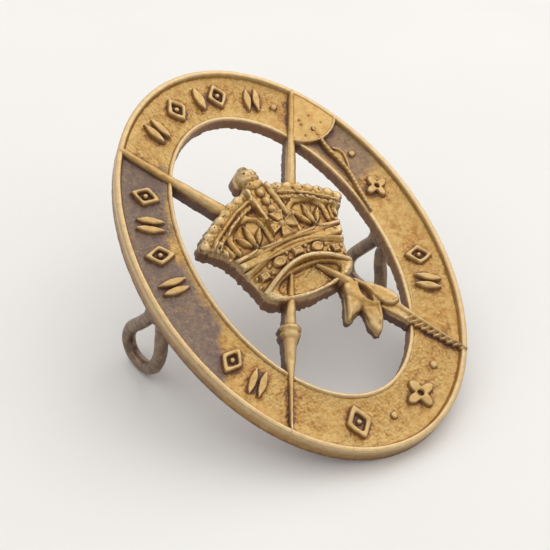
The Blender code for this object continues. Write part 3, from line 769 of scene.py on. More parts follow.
def crown_cap():
    right = CROWN_TOP_LINE + CROWN_SIDE
    outline = right + [(-u, v) for u, v in reversed(right[1:])]
    pearls = pearls_along(CROWN_TOP_LINE, 1.3, 1.04, 0.42)
    pearl_plans = [mirrored(disc(cu, cv, 0.5)) for cu, cv in pearls]
    body = polygon(outline)
    skirt = polygon([(-5.7, 0.4), (5.7, 0.4), (5.45, -0.4), (-5.45, -0.4)])
    plan = any_of(lambda u, v: body(u, v) + 0.04, skirt, *pearl_plans)
    top_line = mirrored(polyline([(-0.5, 7.1)] + CROWN_TOP_LINE[1:]))

    frame_arch = mirrored(polyline([(1.55, 1.2), (1.5, 2.9), (1.7, 3.75), (2.5, 4.25), (3.45, 4.2),
                                    (4.5, 3.7), (5.15, 2.7), (4.95, 1.35)]))
    end_arch = mirrored(polyline([(5.5, 1.4), (5.75, 2.4), (6.2, 2.95), (6.75, 2.7), (6.7, 2.2)]))
    petals = [mirrored(leaf(start, end, wide)) for start, end, wide in (
        ((3.25, 1.0), (3.25, 3.75), 0.4),
        ((2.95, 1.3), (1.95, 2.95), 0.36),
        ((3.55, 1.3), (4.5, 2.85), 0.36))]
    end_lily = mirrored(any_of(leaf((5.95, 1.35), (6.25, 2.7), 0.3), disc(6.4, 2.2, 0.2)))
    cross_centre = 2.25

    def cross(u, v):
        a = np.abs(u)
        b = np.abs(v - cross_centre)
        long_way = np.maximum(a, b)
        short_way = np.minimum(a, b)
        flare = 0.18 + 0.42 * long_way
        return np.maximum(short_way - flare, long_way - 1.34)

    def front(u, v):
        a = np.abs(u)
        height = crown_swell(u, v)
        below_top = top_line(u, v)
        on_side = step_up(1.3 - a, 0.2)

        # Pearled edge with the moulding under it
        height -= 0.06 * step_up(np.abs(below_top - 0.45) - 0.5, 0.25) * on_side
        for plan_here in pearl_plans:
            height += 0.15 * dome(plan_here(u, v), 0.45)
        height += 0.28 * ridge(np.abs(below_top - 1.22), 0.22) * on_side
        rope = 0.6 + 0.4 * np.cos(11.0 * a)
        height += 0.16 * rope * ridge(np.abs(below_top - 1.75), 0.22) * on_side

        # Sunk panels with their arched frames and lilies
        panel = np.maximum(np.maximum(2.0 - below_top, 1.0 - v), a - 6.9)
        height -= 0.34 * step_up(panel, 0.35) * on_side
        height += 0.36 * ridge(frame_arch(u, v), 0.32)
        height += 0.26 * ridge(end_arch(u, v), 0.24)
        height += np.maximum.reduce([0.46 * dome(petal(u, v), 0.36) for petal in petals])
        height += 0.4 * dome(end_lily(u, v), 0.25)

        # Scalloped moulding over the headband
        scallop = 0.92 - 0.05 * a + 0.5 * np.exp(-np.abs(a - 3.2) / 0.4)
        height += 0.28 * ridge(np.abs(v - scallop) * 0.85, 0.19)
        height += 0.1 * step_up(v - scallop + 0.1, 0.15)

        # Middle arch: raised strap with two rounded borders and a row of long pearls
        strap = np.maximum(a - 1.3, 2.6 - v)
        height += 0.16 * step_up(strap, 0.18)
        border = np.abs(a - (1.26 - 0.03 * v))
        height += 0.34 * ridge(border, 0.34) * step_up(2.7 - v, 0.2)
        for k in range(3):
            height += 0.42 * dome(oval(0.0, 6.1 - 1.05 * k, 0.42, 0.54)(u, v), 0.36)

        # Front cross
        height += 0.4 * step_up(cross(u, v), 0.2)
        height -= 0.06 * step_up(cross(u, v) + 0.24, 0.14)
        height += 0.2 * dome(disc(0.0, cross_centre, 0.34)(u, v), 0.3)
        pit = smooth_noise(u + 20.0, v + 20.0, 0.17, 23)
        lumps = smooth_noise(u + 20.0, v + 20.0, 0.35, 21) - 0.5
        return height + 0.1 * lumps - 0.12 * smooth_between(pit, 0.88, 0.96)

    return relief("crown_cap_relief", plan, front, ((-8.4, -0.6), (8.4, 7.6)), 0.0, step=0.055,
                  edge=0.18, draft=0.1, ragged=0.16)


def headband():
    half_top = HEADBAND_TOP[0]
    half_foot = HEADBAND_FOOT[0]

    def place_in(u, v):
        """Share of the way up the headband, and share of the way out to its end."""
        top = bow(HEADBAND_TOP, u)
        foot = bow(HEADBAND_FOOT, u)
        up = (v - foot) / (top - foot)
        half = half_foot + (half_top - half_foot) * np.clip((v + 3.5) / 3.6, 0.0, 1.0)
        return up, u / half

    def plan(u, v):
        up, out = place_in(u, v)
        tall = bow(HEADBAND_TOP, u) - bow(HEADBAND_FOOT, u)
        return np.maximum(np.maximum(-up, up - 1.1) * tall, (np.abs(out) - 1.0) * 5.0)

    def on_band(u, share):
        return float(bow(HEADBAND_FOOT, u) * (1.0 - share) + bow(HEADBAND_TOP, u) * share)

    def square(cu, cv, half_u, half_v):
        return lambda u, v: np.maximum(np.abs(u - cu) - half_u, np.abs(v - cv) - half_v)

    jewels = []
    beads = []
    for side in (-1, 1):
        jewels.append(oval(side * 2.1, on_band(2.1, 0.43), 0.7, 0.56))
        jewels.append(square(side * 3.95, on_band(3.95, 0.43), 0.46, 0.42))
        for u in (1.02, 3.12, 4.7):
            beads += [oval(side * u, on_band(u, share), 0.2, 0.22) for share in (0.32, 0.55)]
    jewels.append(square(0.0, on_band(0.0, 0.43), 0.56, 0.44))
    all_jewels = any_of(*jewels)
    all_beads = any_of(*beads)

    def front(u, v):
        up, out = place_in(u, v)
        height = 1.5 + 1.05 * np.cos(math.pi / 2 * np.clip(out, -1.0, 1.0)) ** 0.85
        height -= 0.24 * step_up(np.abs(up - 0.43) - 0.24, 0.07)
        height += 0.36 * ridge(np.abs(up - 0.08), 0.13)
        height += 0.2 * ridge(np.abs(up - 0.99), 0.08)
        height += 0.2 * ridge(np.abs(up - 0.79), 0.075)
        height += 0.42 * dome(all_jewels(u, v), 0.24)
        height -= 0.1 * dome(all_jewels(u, v) + 0.24, 0.2)
        height += 0.26 * dome(all_beads(u, v), 0.2)
        pit = smooth_noise(u + 30.0, v + 20.0, 0.16, 23)
        lumps = smooth_noise(u + 30.0, v + 20.0, 0.3, 22) - 0.5
        return height + 0.05 * lumps - 0.1 * smooth_between(pit, 0.91, 0.97)

    return relief("crown_headband_relief", plan, front, ((-6.0, -3.8), (6.0, 1.2)), 0.0, step=0.055,
                  edge=0.12, draft=0.12, ragged=0.16)


def base_panel():
    """Stippled lining under the headband, with a raised lip."""
    shape = oval(*BASE_CENTRE, *BASE_SIZE)

    def plan(u, v):
        return np.maximum(shape(u, v), v - bow(HEADBAND_FOOT, u) - 0.5)

    def front(u, v):
        grain = stipple(u + 40.0, v + 40.0, 0.26, 24)
        height = 1.36 + 0.09 * grain + 0.1 * smooth_noise(u + 40.0, v + 40.0, 0.9, 26)
        lip = ridge(np.abs(shape(u, v) + 0.2), 0.3)
        return height + 0.5 * lip

    return relief("crown_base_relief", plan, front, ((-5.0, -5.2), (5.0, -0.9)), 0.0, step=0.06,
                  edge=0.14, draft=0.25, ragged=0.18)


def crown_orb():
    """Lumpy orb, worn nearly smooth, on a collar."""
    ball = disc(0.0, 8.2, 1.24)
    collar = oval(0.05, 7.2, 1.05, 0.7)
    knob = oval(0.15, 9.25, 0.6, 0.36)
    plan = any_of(ball, collar, knob)
    worn_cross = any_of(stroke((0.1, 8.2), (0.2, 9.2), 0.2, 0.3),
                        stroke((-0.5, 8.75), (0.7, 8.7), 0.2, 0.2))
    hoop = polyline([(-1.2, 8.0), (0.0, 7.8), (1.2, 7.95)])

    def front(u, v):
        height = 1.45 + 0.95 * dome(ball(u, v), 1.25)
        height = np.maximum(height, 1.75 + 0.6 * dome(collar(u, v), 0.5))
        height += 0.12 * step_up(worn_cross(u, v), 0.35)
        height += 0.1 * ridge(hoop(u, v), 0.2)
        height += 0.3 * (smooth_noise(u + 10.3, v + 10.1, 0.62, 28) - 0.5)
        return height - 0.16 * smooth_between(smooth_noise(u + 10.0, v + 10.0, 0.24, 29), 0.74, 0.92)

    return relief("crown_orb_relief", plan, front, ((-1.6, 6.2), (1.6, 9.9)), 0.05, step=0.05,
                  edge=0.2, draft=0.04, ragged=0.12)


# ---- marks round the band

def band_axes(degrees):
    """Middle of the band at an angle, and the unit direction outwards across it."""
    angle = math.radians(degrees)
    outer = np.array(oval_point(OUTER, angle, -OUTER_RIM_WIDTH))
    inner = np.array(oval_point(OPENING, angle, INNER_RIM_WIDTH))
    across = (outer - inner) / np.linalg.norm(outer - inner)
    return (outer + inner) / 2, across


def band_mark(name, degrees, plan_here, half_size, top=RAISED_TOP):
    """Raised mark whose plan is drawn as (across the band, along the band)."""
    middle, across = band_axes(degrees)

    def local(u, v):
        du = u - middle[0]
        dv = v - middle[1]
        return du * across[0] + dv * across[1], dv * across[0] - du * across[1]

    def plan(u, v):
        wobble = 0.07 * (smooth_noise(u + 50.0, v + 50.0, 0.6, 30) - 0.5)
        return plan_here(*local(u, v)) + wobble

    def front(u, v):
        return top - 0.04 + 0.08 * smooth_noise(u + 50.0, v + 50.0, 0.8, 31)

    return relief(name, plan, front, reach_of([middle], half_size), GROUND - 0.25,
                  step=0.055, edge=0.13, draft=0.16, ragged=0.02)


def lozenge_frame(half_long, half_short, stroke_width):
    """Open lozenge with rounded corners."""
    def plan(a, b):
        slope = math.hypot(1 / half_long, 1 / half_short)
        reach = np.sqrt(np.abs(a / half_long) ** 2 + 0.01) + np.sqrt(np.abs(b / half_short) ** 2 + 0.01)
        d = (reach - 1.0) / slope
        return np.abs(d + 0.5 * stroke_width) - 0.5 * stroke_width
    return plan


def quatrefoil(size):
    def plan(a, b):
        angle = np.arctan2(b, a)
        reach = size * (0.72 + 0.28 * np.cos(4.0 * angle))
        petals = (np.hypot(a, b) - reach) * 0.75
        return np.maximum(petals, 0.2 * size - np.hypot(a, b))
    return plan


# Angles round the band, in degrees, of the leaves, the lozenges and the flowers
BARS = (63.5, 88.0, 116.0, 156.0, 177.0, 214.5, 333.5)
LOZENGES = (79.0, 101.0, 145.5, 166.5, 204.5, 253.0, 343.0)
FLOWERS = (9.0, 286.0)
# Each pellet: its angle, and how far it sits outwards from the middle of the band
PELLETS = ((54.0, 0.0), (22.0, 0.6), (269.5, 0.0), (301.0, 0.0))


def make_marks():
    """Leaves, lozenges, flowers and pellets, each a separate raised mark."""
    single = leaf((-1.35, 0.0), (1.35, 0.0), 0.42)
    pair = any_of(leaf((-1.3, -0.45), (1.3, -0.45), 0.34), leaf((-1.3, 0.45), (1.3, 0.45), 0.34))
    bead = disc(0.0, 0.0, 0.22)
    pieces = {}
    for index, degrees in enumerate(BARS):
        plan = single if degrees == 88.0 else pair
        pieces["band_bar_%d" % index] = band_mark("mark_leaves_%d" % index, degrees, plan, 1.8)
    for index, degrees in enumerate(LOZENGES):
        large = degrees == 253.0
        frame_plan = lozenge_frame(1.75, 1.3, 0.42) if large else lozenge_frame(1.5, 1.05, 0.33)
        piece = band_mark("mark_lozenge_%d" % index, degrees, any_of(frame_plan, bead), 2.0)
        pieces["band_lozenge_%d" % index] = piece
    for index, degrees in enumerate(FLOWERS):
        plan = quatrefoil(1.2 if index == 0 else 1.45)
        pieces["band_flower_%d" % index] = band_mark("mark_flower_%d" % index, degrees, plan, 1.7)
    for index, (degrees, outwards) in enumerate(PELLETS):
        plan = disc(outwards, 0.0, 0.33)
        piece = band_mark("mark_pellet_%d" % index, degrees, plan, 1.2, RAISED_TOP - 0.15)
        pieces["band_pellet_%d" % index] = piece
    return pieces


# ---- lugs

LUG_WIRE_RADIUS = 0.68
# Each lug: u of its plane, v of its foot, and the bends of its wire as (v, w)
LUGS = {
    "left": (-13.7, 0.0, [(0.72, 0.0), (0.75, -2.4), (1.5, -4.9), (2.4, -7.5), (2.25, -9.6), (0.9, -10.35),
                          (-0.9, -9.43), (-2.0, -7.6), (-2.15, -5.0), (-1.6, -2.8), (-0.72, 0.0)]),
    "right": (10.35, -1.5, [(-0.75, 0.0), (-0.8, -2.2), (-0.35, -4.0), (0.3, -6.6), (0.3, -8.2),
                            (-0.6, -9.28), (-2.1, -8.84), (-3.8, -7.95), (-4.5, -6.6), (-3.8, -4.8),
                            (-2.85, -3.3), (-2.35, -2.0), (-2.25, 0.0)]),
}


def lug_route(bends):
    """Wire centreline as (v, w): a smooth curve through the bends, from one foot round to the other."""
    bends = np.array(bends)
    before = np.vstack([bends[:1], bends[:-2]])[:, None]
    start = bends[:-1, None]
    end = bends[1:, None]
    after = np.vstack([bends[2:], bends[-1:]])[:, None]
    t = (np.arange(LUG_STEPS) / LUG_STEPS)[None, :, None]
    line = start + (end - start) * ease(t)
    line = line + (end - before) * t * (1.0 - t) ** 2 / 2 - (after - start) * t * t * (1.0 - t) / 2
    return np.vstack([line.reshape(-1, 2), bends[-1:]])


def tube_faces(rows, sides, outwards):
    """Faces of a closed tube: rings of points, and a cap at each end."""
    faces = strip_faces(rows, sides, wrap_columns=True)
    first = list(range(sides))
    last = [(rows - 1) * sides + k for k in first]
    return faces + ([first[::-1], last] if outwards else [first, last[::-1]])


def make_lug(side, u, bends):
    """Bent wire loop, slightly flattened and dented along its length."""
    route = lug_route(bends)
    ahead = np.gradient(route, axis=0)
    ahead /= np.linalg.norm(ahead, axis=1)[:, None]
    travelled = np.concatenate([[0.0], np.cumsum(np.linalg.norm(np.diff(route, axis=0), axis=1))])
    sides = 28
    turn = np.arange(sides) * math.tau / sides
    dent = smooth_noise(travelled[:, None] + 5.0 * np.cos(turn), 5.0 + 2.0 * np.sin(turn), 1.1, 33) - 0.5
    radius = (LUG_WIRE_RADIUS - 0.04) * (1.0 + 0.08 * dent)
    across_u = np.cos(turn) * radius
    across = np.sin(turn) * radius
    points = np.stack([
        u + across_u,
        route[:, :1] - ahead[:, 1:2] * across,
        route[:, 1:2] + ahead[:, :1] * across,
    ], -1).reshape(-1, 3)
    return make_object(side + "_wire_lug", points, tube_faces(len(route), sides, outwards=True))


def make_solder(side, u, foot_v):
    """Mound of solder on the back that runs down between the two strands."""
    sides = 64
    turn = np.arange(sides) * math.tau / sides
    rings = []
    for depth, half_u, half_v in (
            (-0.3, 0.94, 1.58), (0.0, 0.93, 1.57), (0.12, 0.9, 1.54), (0.3, 0.86, 1.5), (0.6, 0.82, 1.42),
            (0.95, 0.76, 1.38), (1.25, 0.68, 1.3), (1.5, 0.5, 1.1), (1.75, 0.32, 0.7), (1.95, 0.14, 0.3)):
        rough = smooth_noise(3.0 * np.cos(turn) + 9.0, 3.0 * np.sin(turn) + 9.0 + depth * 1.5, 0.8, 35)
        lump = 1.0 - 0.1 * rough
        rings.append(np.stack([u + half_u * lump * np.cos(turn), foot_v + half_v * lump * np.sin(turn),
                               np.full(sides, -depth)], 1))
    faces = tube_faces(len(rings), sides, outwards=False)
    return make_object(side + "_solder_mound", np.concatenate(rings), faces)


# ---- wear, grime, painted shade and painted highlight, point by point

def box_blur(field, cells):
    """Mean over a square window, by running sums."""
    size = 2 * cells + 1
    for axis in (0, 1):
        padding = [(0, 0), (0, 0)]
        padding[axis] = (cells + 1, cells)
        total = np.cumsum(np.pad(field, padding, mode="edge"), axis=axis)
        ahead = np.take(total, np.arange(size, total.shape[axis]), axis=axis)
        behind = np.take(total, np.arange(0, total.shape[axis] - size), axis=axis)
        field = (ahead - behind) / size
    return field


def sample_map(field, u, v):
    x = np.clip((u - MAP_U[0]) / MAP_STEP, 0, len(MAP_U) - 2)
    y = np.clip((v - MAP_V[0]) / MAP_STEP, 0, len(MAP_V) - 2)
    i = x.astype(int)
    j = y.astype(int)
    return between_cells(field, (j, j + 1), (i, i + 1), x - i, y - j)


def stain_zones(u, v):
    """Dark toning on the left of the band and at its upper right, from 0 to 1."""
    angle = np.degrees(np.arctan2(v / HALF_HEIGHT, u / HALF_WIDTH)) % 360.0
    share_out = outside_oval(OPENING)(u, v) / 5.0
    angle = angle + 6.0 * (smooth_noise(u + 70.0, v + 70.0, 1.1, 71) - 0.5)
    slanting_end = angle - 16.0 * share_out
    left = smooth_between(angle, 127.0, 131.0) * (1.0 - smooth_between(slanting_end, 191.0, 195.0))
    bare_patch = smooth_between(0.3 - share_out, 0.0, 0.08)
    bare_patch = bare_patch * smooth_between(7.0 - np.abs(angle - 163.0), 0.0, 4.0)
    right = smooth_between(angle, 14.0, 20.0) * (1.0 - smooth_between(angle, 46.0, 50.0))
    return np.maximum(left * (1.0 - bare_patch), 0.75 * right)


def write_attribute(obj, name, values):
    attribute = obj.data.attributes.new(name, "FLOAT", "POINT")
    attribute.data.foreach_set("value", np.asarray(values, np.float32))


def read_points(mesh, name):
    values = np.empty(len(mesh.vertices) * 3, np.float32)
    mesh.vertices.foreach_get(name, values)
    return values.reshape(-1, 3).astype(float)


def bend_of_surface(obj):
    """How far each point stands out from its neighbours: above 0 on edges and below it in creases."""
    mesh = obj.data
    count = len(mesh.vertices)
    place = read_points(mesh, "co")
    normal = read_points(mesh, "normal")
    ends = np.empty(len(mesh.edges) * 2, np.int32)
    mesh.edges.foreach_get("vertices", ends)
    one, other = ends.reshape(-1, 2).T
    step = place[other] - place[one]
    length = np.maximum(np.linalg.norm(step, axis=1), 1e-9)
    out = -np.bincount(one, (step * normal[one]).sum(1) / length, count)
    out += np.bincount(other, (step * normal[other]).sum(1) / length, count)
    meeting = np.maximum(np.bincount(one, minlength=count) + np.bincount(other, minlength=count), 1)
    bend = out / meeting
    total = np.bincount(one, bend[other], count) + np.bincount(other, bend[one], count)
    return 0.5 * bend + 0.5 * total / meeting


def shade_points():
    """Store recess, wear, wall, edge, crease and stain on every point of the struck face."""
    near = box_blur(box_blur(height_map, 3), 3)
    wide = box_blur(box_blur(height_map, 8), 8)
    for obj, points in face_pieces:
        u, v, w = points.T
        around = 0.6 * sample_map(near, u, v) + 0.4 * sample_map(wide, u, v)
        lift = w - around
        bend = bend_of_surface(obj)
        inside = smooth_between(-outside_oval(OUTER)(u, v), 0.5, 0.9)
        # recess, wall and crease drive painted shade with grime; wear and edge drive wear and painted
        # highlights
        write_attribute(obj, "recess", np.clip(-lift / 0.5, 0.0, 1.0))
        write_attribute(obj, "wear", np.clip(lift / 0.45, 0.0, 1.0))
        write_attribute(obj, "wall", smooth_between(WALL_TOP - w, 0.0, 0.35) * inside)
        write_attribute(obj, "edge", smooth_between(bend, 0.06, 0.3))
        write_attribute(obj, "crease", smooth_between(-bend, 0.04, 0.22))
        write_attribute(obj, "stain", stain_zones(u, v))


# ---- materials

class Nodes:
    """Small helper that adds and links shader nodes."""

    def __init__(self, name):
        self.material = bpy.data.materials.new(name)
        self.material.use_nodes = True
        self.tree = self.material.node_tree
        self.shader = self.tree.nodes["Principled BSDF"]
        coordinates = self.tree.nodes.new("ShaderNodeTexCoord")
        self.position = coordinates.outputs["Object"]

    def add(self, kind, **settings):
        node = self.tree.nodes.new(kind)
        for key, value in settings.items():
            setattr(node, key, value)
        return node

    def feed(self, socket, value):
        if isinstance(value, bpy.types.NodeSocket):
            self.tree.links.new(value, socket)
        else:
            socket.default_value = value

    def noise(self, per_mm, detail, roughness=0.6):
        node = self.add("ShaderNodeTexNoise")
        self.feed(node.inputs["Vector"], self.position)
        node.inputs["Scale"].default_value = per_mm / MM
        node.inputs["Detail"].default_value = detail
        node.inputs["Roughness"].default_value = roughness
        return node.outputs["Fac"]

    def attribute(self, name):
        return self.add("ShaderNodeAttribute", attribute_name=name).outputs["Fac"]

    def ramp(self, value, low, high, low_value=0.0, high_value=1.0):
        node = self.add("ShaderNodeMapRange", interpolation_type="SMOOTHSTEP")
        sockets = ("Value", "From Min", "From Max", "To Min", "To Max")
        for socket, given in zip(sockets, (value, low, high, low_value, high_value)):
            self.feed(node.inputs[socket], given)
        return node.outputs["Result"]

    def math(self, operation, a, b=0.0, clamp=False):
        node = self.add("ShaderNodeMath", operation=operation, use_clamp=clamp)
        self.feed(node.inputs[0], a)
        self.feed(node.inputs[1], b)
        return node.outputs[0]

    def times(self, a, b, clamp=False):
        return self.math("MULTIPLY", a, b, clamp)

    def plus(self, a, b):
        return self.math("ADD", a, b)

    def minus(self, a, b, clamp=False):
        return self.math("SUBTRACT", a, b, clamp)

    def mix(self, factor, a, b):
        node = self.add("ShaderNodeMix", data_type="RGBA")
        self.feed(node.inputs[0], factor)
        self.feed(node.inputs[6], a)
        self.feed(node.inputs[7], b)
        return node.outputs[2]

    def bump(self, height, distance_mm, strength=1.0, normal=None):
        node = self.add("ShaderNodeBump")
        node.inputs["Strength"].default_value = strength
        node.inputs["Distance"].default_value = distance_mm * MM
        self.feed(node.inputs["Height"], height)
        if normal is not None:
            self.feed(node.inputs["Normal"], normal)
        return node.outputs["Normal"]

    def occlusion(self, distance_mm):
        node = self.add("ShaderNodeAmbientOcclusion")
        node.samples = 8
        node.inputs["Distance"].default_value = distance_mm * MM
        return node.outputs["AO"]


# Colours, from painted glints and worn, painted-highlit edges down to painted shade with grime, and toning
# Painted glint on the sharpest edges
GLINT = (0.92, 0.85, 0.70, 1.0)
# Worn high points, with painted highlights on edges
BRIGHT = (0.76, 0.64, 0.44, 1.0)
BRASS = (0.51, 0.335, 0.13, 1.0)
WARM = (0.43, 0.245, 0.08, 1.0)
OLIVE = (0.45, 0.345, 0.15, 1.0)
# Painted reflection: warm glow of light bounced between brass walls inside crevices
AMBER = (0.37, 0.18, 0.05, 1.0)
# Painted shade, with some grime, in the deepest hollows
UMBER = (0.150, 0.090, 0.075, 1.0)
PLUM = (0.170, 0.122, 0.112, 1.0)


def brass(name, shade_and_grime_amount, stain, polish_and_highlight=1.0, grain=1.0):
    """Worn gilding metal: worn edges with painted highlights and glints, painted shade with grime in
    recesses (amber for painted bounce light, then umber), plum-brown where it is toned.
    """
    n = Nodes(name)
    broad = n.noise(0.35, 3.0)
    mottle = n.noise(1.6, 6.0, 0.65)
    fine = n.noise(7.0, 5.0, 0.7)
    speck = n.noise(14.0, 2.0, 0.5)
    recess, wear, wall, edge, crease, toned = [
        n.attribute(kind) for kind in ("recess", "wear", "wall", "edge", "crease", "stain")]

    # Painted shade: ambient occlusion, hollows, creases and the low walls darken the colour, together with
    # some grime
    occlusion_shade = n.minus(1.0, n.occlusion(0.6))
    shade_and_grime = n.plus(n.times(recess, 0.75), occlusion_shade)
    shade_and_grime = n.plus(shade_and_grime, n.times(crease, 0.35))
    shade_and_grime = n.plus(shade_and_grime, n.times(wall, 1.1))
    shade_and_grime = n.times(shade_and_grime, n.ramp(mottle, 0.3, 0.68, 0.7, 1.3))
    shade_and_grime = n.times(n.ramp(shade_and_grime, 0.12, 1.1), shade_and_grime_amount, clamp=True)

    colour = n.mix(n.ramp(mottle, 0.36, 0.64), BRASS, WARM)
    colour = n.mix(n.times(n.ramp(broad, 0.4, 0.7), 0.25), colour, OLIVE)
    # Worn high points and convex edges lighten towards BRIGHT: partly real wear, partly painted highlight
    worn = n.times(n.ramp(wear, 0.25, 0.95), n.ramp(fine, 0.3, 0.6, 0.4, 1.0))
    edge_wear_and_highlight = n.times(edge, n.ramp(fine, 0.3, 0.6, 0.45, 1.0))
    wear_and_highlight = n.math("MAXIMUM", n.times(worn, 0.45), edge_wear_and_highlight)
    colour = n.mix(n.times(wear_and_highlight, 0.85 * polish_and_highlight, clamp=True), colour, BRIGHT)
    # Painted glint: the sharpest edges lighten towards near white
    colour = n.mix(n.ramp(edge, 0.5, 1.0, 0.0, 0.6 * polish_and_highlight), colour, GLINT)

    tone = n.times(toned, n.ramp(mottle, 0.3, 0.6, 0.75, 1.0))
    tone = n.times(tone, n.ramp(edge, 0.0, 0.6, 1.0, 0.4))
    tone = n.times(tone, n.ramp(speck, 0.5, 0.66, 1.0, 0.55))
    tone = n.times(tone, n.ramp(wear, 0.02, 0.4, 1.0, 0.1))
    tone = n.times(tone, 0.93 * stain, clamp=True)
    # Painted bounce light in shallow hollows (amber), then painted shade with grime in the deepest (umber)
    colour = n.mix(n.ramp(shade_and_grime, 0.0, 0.55), colour, AMBER)
    colour = n.mix(tone, colour, PLUM)
    colour = n.mix(n.ramp(shade_and_grime, 0.38, 0.95), colour, UMBER)
    n.feed(n.shader.inputs["Base Color"], colour)

    shade_grime_and_tone = n.math("MAXIMUM", shade_and_grime, tone)
    n.feed(n.shader.inputs["Metallic"], n.ramp(shade_grime_and_tone, 0.0, 1.0, 1.0, 0.5))
    rough = n.plus(n.ramp(fine, 0.3, 0.7, 0.3, 0.46), n.times(shade_grime_and_tone, 0.18))
    rough = n.minus(rough, n.times(wear_and_highlight, 0.15 * polish_and_highlight), clamp=True)
    n.feed(n.shader.inputs["Roughness"], rough)
    normal = n.bump(mottle, 0.06 * grain, 0.6)
    normal = n.bump(fine, 0.025 * grain, 0.7, normal)
    normal = n.bump(speck, 0.01 * grain, 0.7, normal)
    n.feed(n.shader.inputs["Normal"], normal)
    return n.material


def lug_metal(name, base, light, roughness):
    """Dark toned wire or solder."""
    n = Nodes(name)
    mottle = n.noise(1.2, 6.0, 0.65)
    fine = n.noise(6.0, 4.0, 0.6)
    occlusion_shade = n.minus(1.0, n.occlusion(1.0))
    colour = n.mix(n.ramp(mottle, 0.38, 0.62), base, light)
    # Painted shade: the colour darkens to plum where ambient occlusion finds the wire shut in
    colour = n.mix(n.times(occlusion_shade, 0.7, clamp=True), colour, PLUM)
    n.feed(n.shader.inputs["Base Color"], colour)
    n.feed(n.shader.inputs["Metallic"], n.ramp(mottle, 0.35, 0.7, 0.75, 0.95))
    n.feed(n.shader.inputs["Roughness"], n.ramp(fine, 0.3, 0.7, roughness - 0.08, roughness + 0.1))
    normal = n.bump(mottle, 0.06, 0.5)
    n.feed(n.shader.inputs["Normal"], n.bump(fine, 0.02, 0.5, normal))
    return n.material


def table_material():
    n = Nodes("pale_table")
    mottle = n.noise(0.02, 3.0)
    colour = n.mix(n.ramp(mottle, 0.3, 0.7), (0.80, 0.79, 0.77, 1.0), (0.82, 0.81, 0.79, 1.0))
    n.feed(n.shader.inputs["Base Color"], colour)
    n.feed(n.shader.inputs["Roughness"], n.ramp(mottle, 0.3, 0.7, 0.85, 0.95))
    n.shader.inputs["Specular IOR Level"].default_value = 0.2
    return n.material


# ---- table, light and camera

def make_table():
    """Wide sheet of paper with faint waves."""
    half = 1500.0
    count = 61
    axis = np.linspace(-half, half, count)
    x, y = np.meshgrid(axis, axis)
    flat = smooth_between(np.hypot(x, y), 120.0, 300.0)
    z = -0.02 - flat * 2.0 * smooth_noise(x, y, 400.0, 80)
    points = np.stack([x.ravel(), y.ravel(), z.ravel()], 1) * MM
    mesh = bpy.data.meshes.new("table")
    mesh.from_pydata(points.tolist(), [], strip_faces(count, count))
    mesh.shade_smooth()
    mesh.materials.append(table_material())
    new_object("table", mesh)


def make_world():
    """Even studio light: brightest overhead and to the right, dimmer low down at the front left."""
    world = bpy.data.worlds.new("soft_room")
    bpy.context.scene.world = world
    world.use_nodes = True
    tree = world.node_tree
    background = tree.nodes["Background"]
    coordinates = tree.nodes.new("ShaderNodeTexCoord")
    facing = tree.nodes.new("ShaderNodeVectorMath")
    facing.operation = "DOT_PRODUCT"
    facing.inputs[1].default_value = Vector((0.5, 0.35, 0.75)).normalized()
    tree.links.new(coordinates.outputs["Generated"], facing.inputs[0])
    fade = tree.nodes.new("ShaderNodeMapRange")
    fade.interpolation_type = "SMOOTHSTEP"
    for socket, given in (("From Min", -0.45), ("From Max", 0.75), ("To Min", 0.48), ("To Max", 1.13)):
        fade.inputs[socket].default_value = given
    tree.links.new(facing.outputs["Value"], fade.inputs["Value"])
    tree.links.new(fade.outputs["Result"], background.inputs["Strength"])
    background.inputs["Color"].default_value = (1.0, 0.988, 0.97, 1.0)


def make_lights():
    """One large soft light, high on the right."""
    data = bpy.data.lights.new("key", "AREA")
    data.shape = "RECTANGLE"
    data.size = 420.0 * MM
    data.size_y = 420.0 * MM
    data.energy = 0.44
    data.color = (1.0, 0.985, 0.96)
    light = new_object("key", data)
    light.location = Vector((260.0, 90.0, 330.0)) * MM
    aim_point = Vector((0.0, 0.0, 8.0)) * MM
    light.rotation_euler = (aim_point - light.location).to_track_quat("-Z", "Y").to_euler()


# The camera looks from the front left and above
CAMERA_AZIMUTH = math.radians(-34.18)
CAMERA_ELEVATION = math.radians(36.75)
CAMERA_ROLL = math.radians(-0.30)
CAMERA_DISTANCE = 127.83
CAMERA_TARGET = (-1.076, 0.731, 7.848)
CAMERA_LENS = 90.0


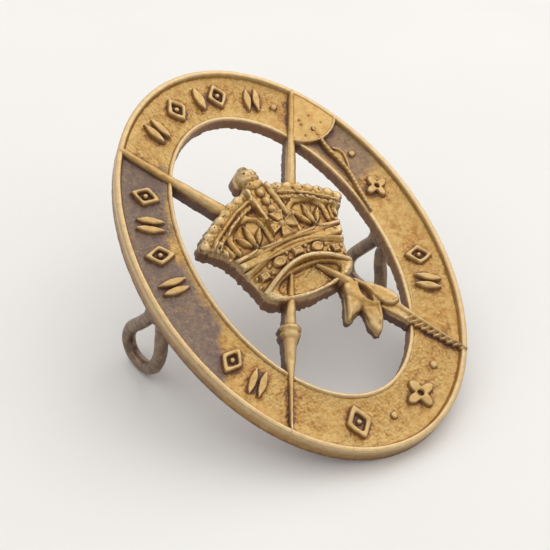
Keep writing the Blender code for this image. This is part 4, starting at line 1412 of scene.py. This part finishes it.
def make_camera():
    data = bpy.data.cameras.new("camera")
    data.lens = CAMERA_LENS
    data.sensor_width = 36.0
    data.clip_start = 0.005
    data.clip_end = 10.0
    camera = new_object("camera", data)
    cos = math.cos(CAMERA_ELEVATION)
    back = Vector((math.sin(CAMERA_AZIMUTH) * cos,
                   -math.cos(CAMERA_AZIMUTH) * cos,
                   math.sin(CAMERA_ELEVATION)))
    right = Vector((0.0, 0.0, 1.0)).cross(back).normalized()
    up = back.cross(right)
    turn = Matrix.Rotation(CAMERA_ROLL, 3, back)
    right = turn @ right
    up = turn @ up
    place = Matrix((right, up, back)).transposed().to_4x4()
    place.translation = (Vector(CAMERA_TARGET) + back * CAMERA_DISTANCE) * MM
    camera.matrix_world = place
    bpy.context.scene.camera = camera


# ---- assembly

def settle(piece, nodes, material):
    """Give a finished piece its material and its place in the frame."""
    piece.data.materials.append(material)
    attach(piece, "root")
    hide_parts(*nodes)


def main():
    rim_brass = brass("rim_brass", shade_and_grime_amount=0.7, stain=0.5)
    ground_brass = brass("ground_brass", shade_and_grime_amount=0.9, polish_and_highlight=0.8, stain=1.1, grain=1.4)
    mark_brass = brass("mark_brass", shade_and_grime_amount=0.8, stain=0.4)
    staff_brass = brass("staff_brass", shade_and_grime_amount=1.15, polish_and_highlight=0.6, stain=0.0)
    crown_brass = brass("crown_brass", shade_and_grime_amount=0.76, polish_and_highlight=1.15, stain=0.0)

    settle(make_outer_rim(), ["outer_rim"], rim_brass)
    settle(make_inner_rim(), ["inner_rim"], rim_brass)
    settle(make_band(), ["oval_band"], ground_brass)
    for node, piece in make_marks().items():
        settle(piece, [node], mark_brass)
    for node, piece in make_shafts().items():
        settle(piece, [node], staff_brass)
    settle(serrated_blade(), ["club_notched_blade"], staff_brass)
    settle(feather_tuft(), ["club_feather_tuft"], staff_brass)
    settle(axe_blade(), ["axe_blade"], staff_brass)
    settle(feather_cord(), ["axe_feather_cord"], staff_brass)
    settle(crown_cap(), ["crown_cap", "crown_arch_left", "crown_arch_middle", "crown_arch_right",
                         "crown_fleuron_left", "crown_fleuron_right"], crown_brass)
    settle(headband(), ["crown_headband"], crown_brass)
    settle(base_panel(), ["crown_base_panel"], crown_brass)
    settle(crown_orb(), ["crown_orb"], crown_brass)
    shade_points()

    wire = lug_metal("lug_wire", (0.17, 0.115, 0.085, 1.0), (0.30, 0.21, 0.14, 1.0), 0.42)
    solder = lug_metal("lug_solder", (0.16, 0.11, 0.085, 1.0), (0.26, 0.18, 0.12, 1.0), 0.55)
    for side, (u, foot_v, bends) in LUGS.items():
        settle(make_lug(side, u, bends), [side + "_lug"], wire)
        settle(make_solder(side, u, foot_v), [side + "_lug_solder"], solder)

    make_table()
    make_world()
    make_lights()
    make_camera()
    bpy.context.scene.view_settings.view_transform = "Standard"


main()
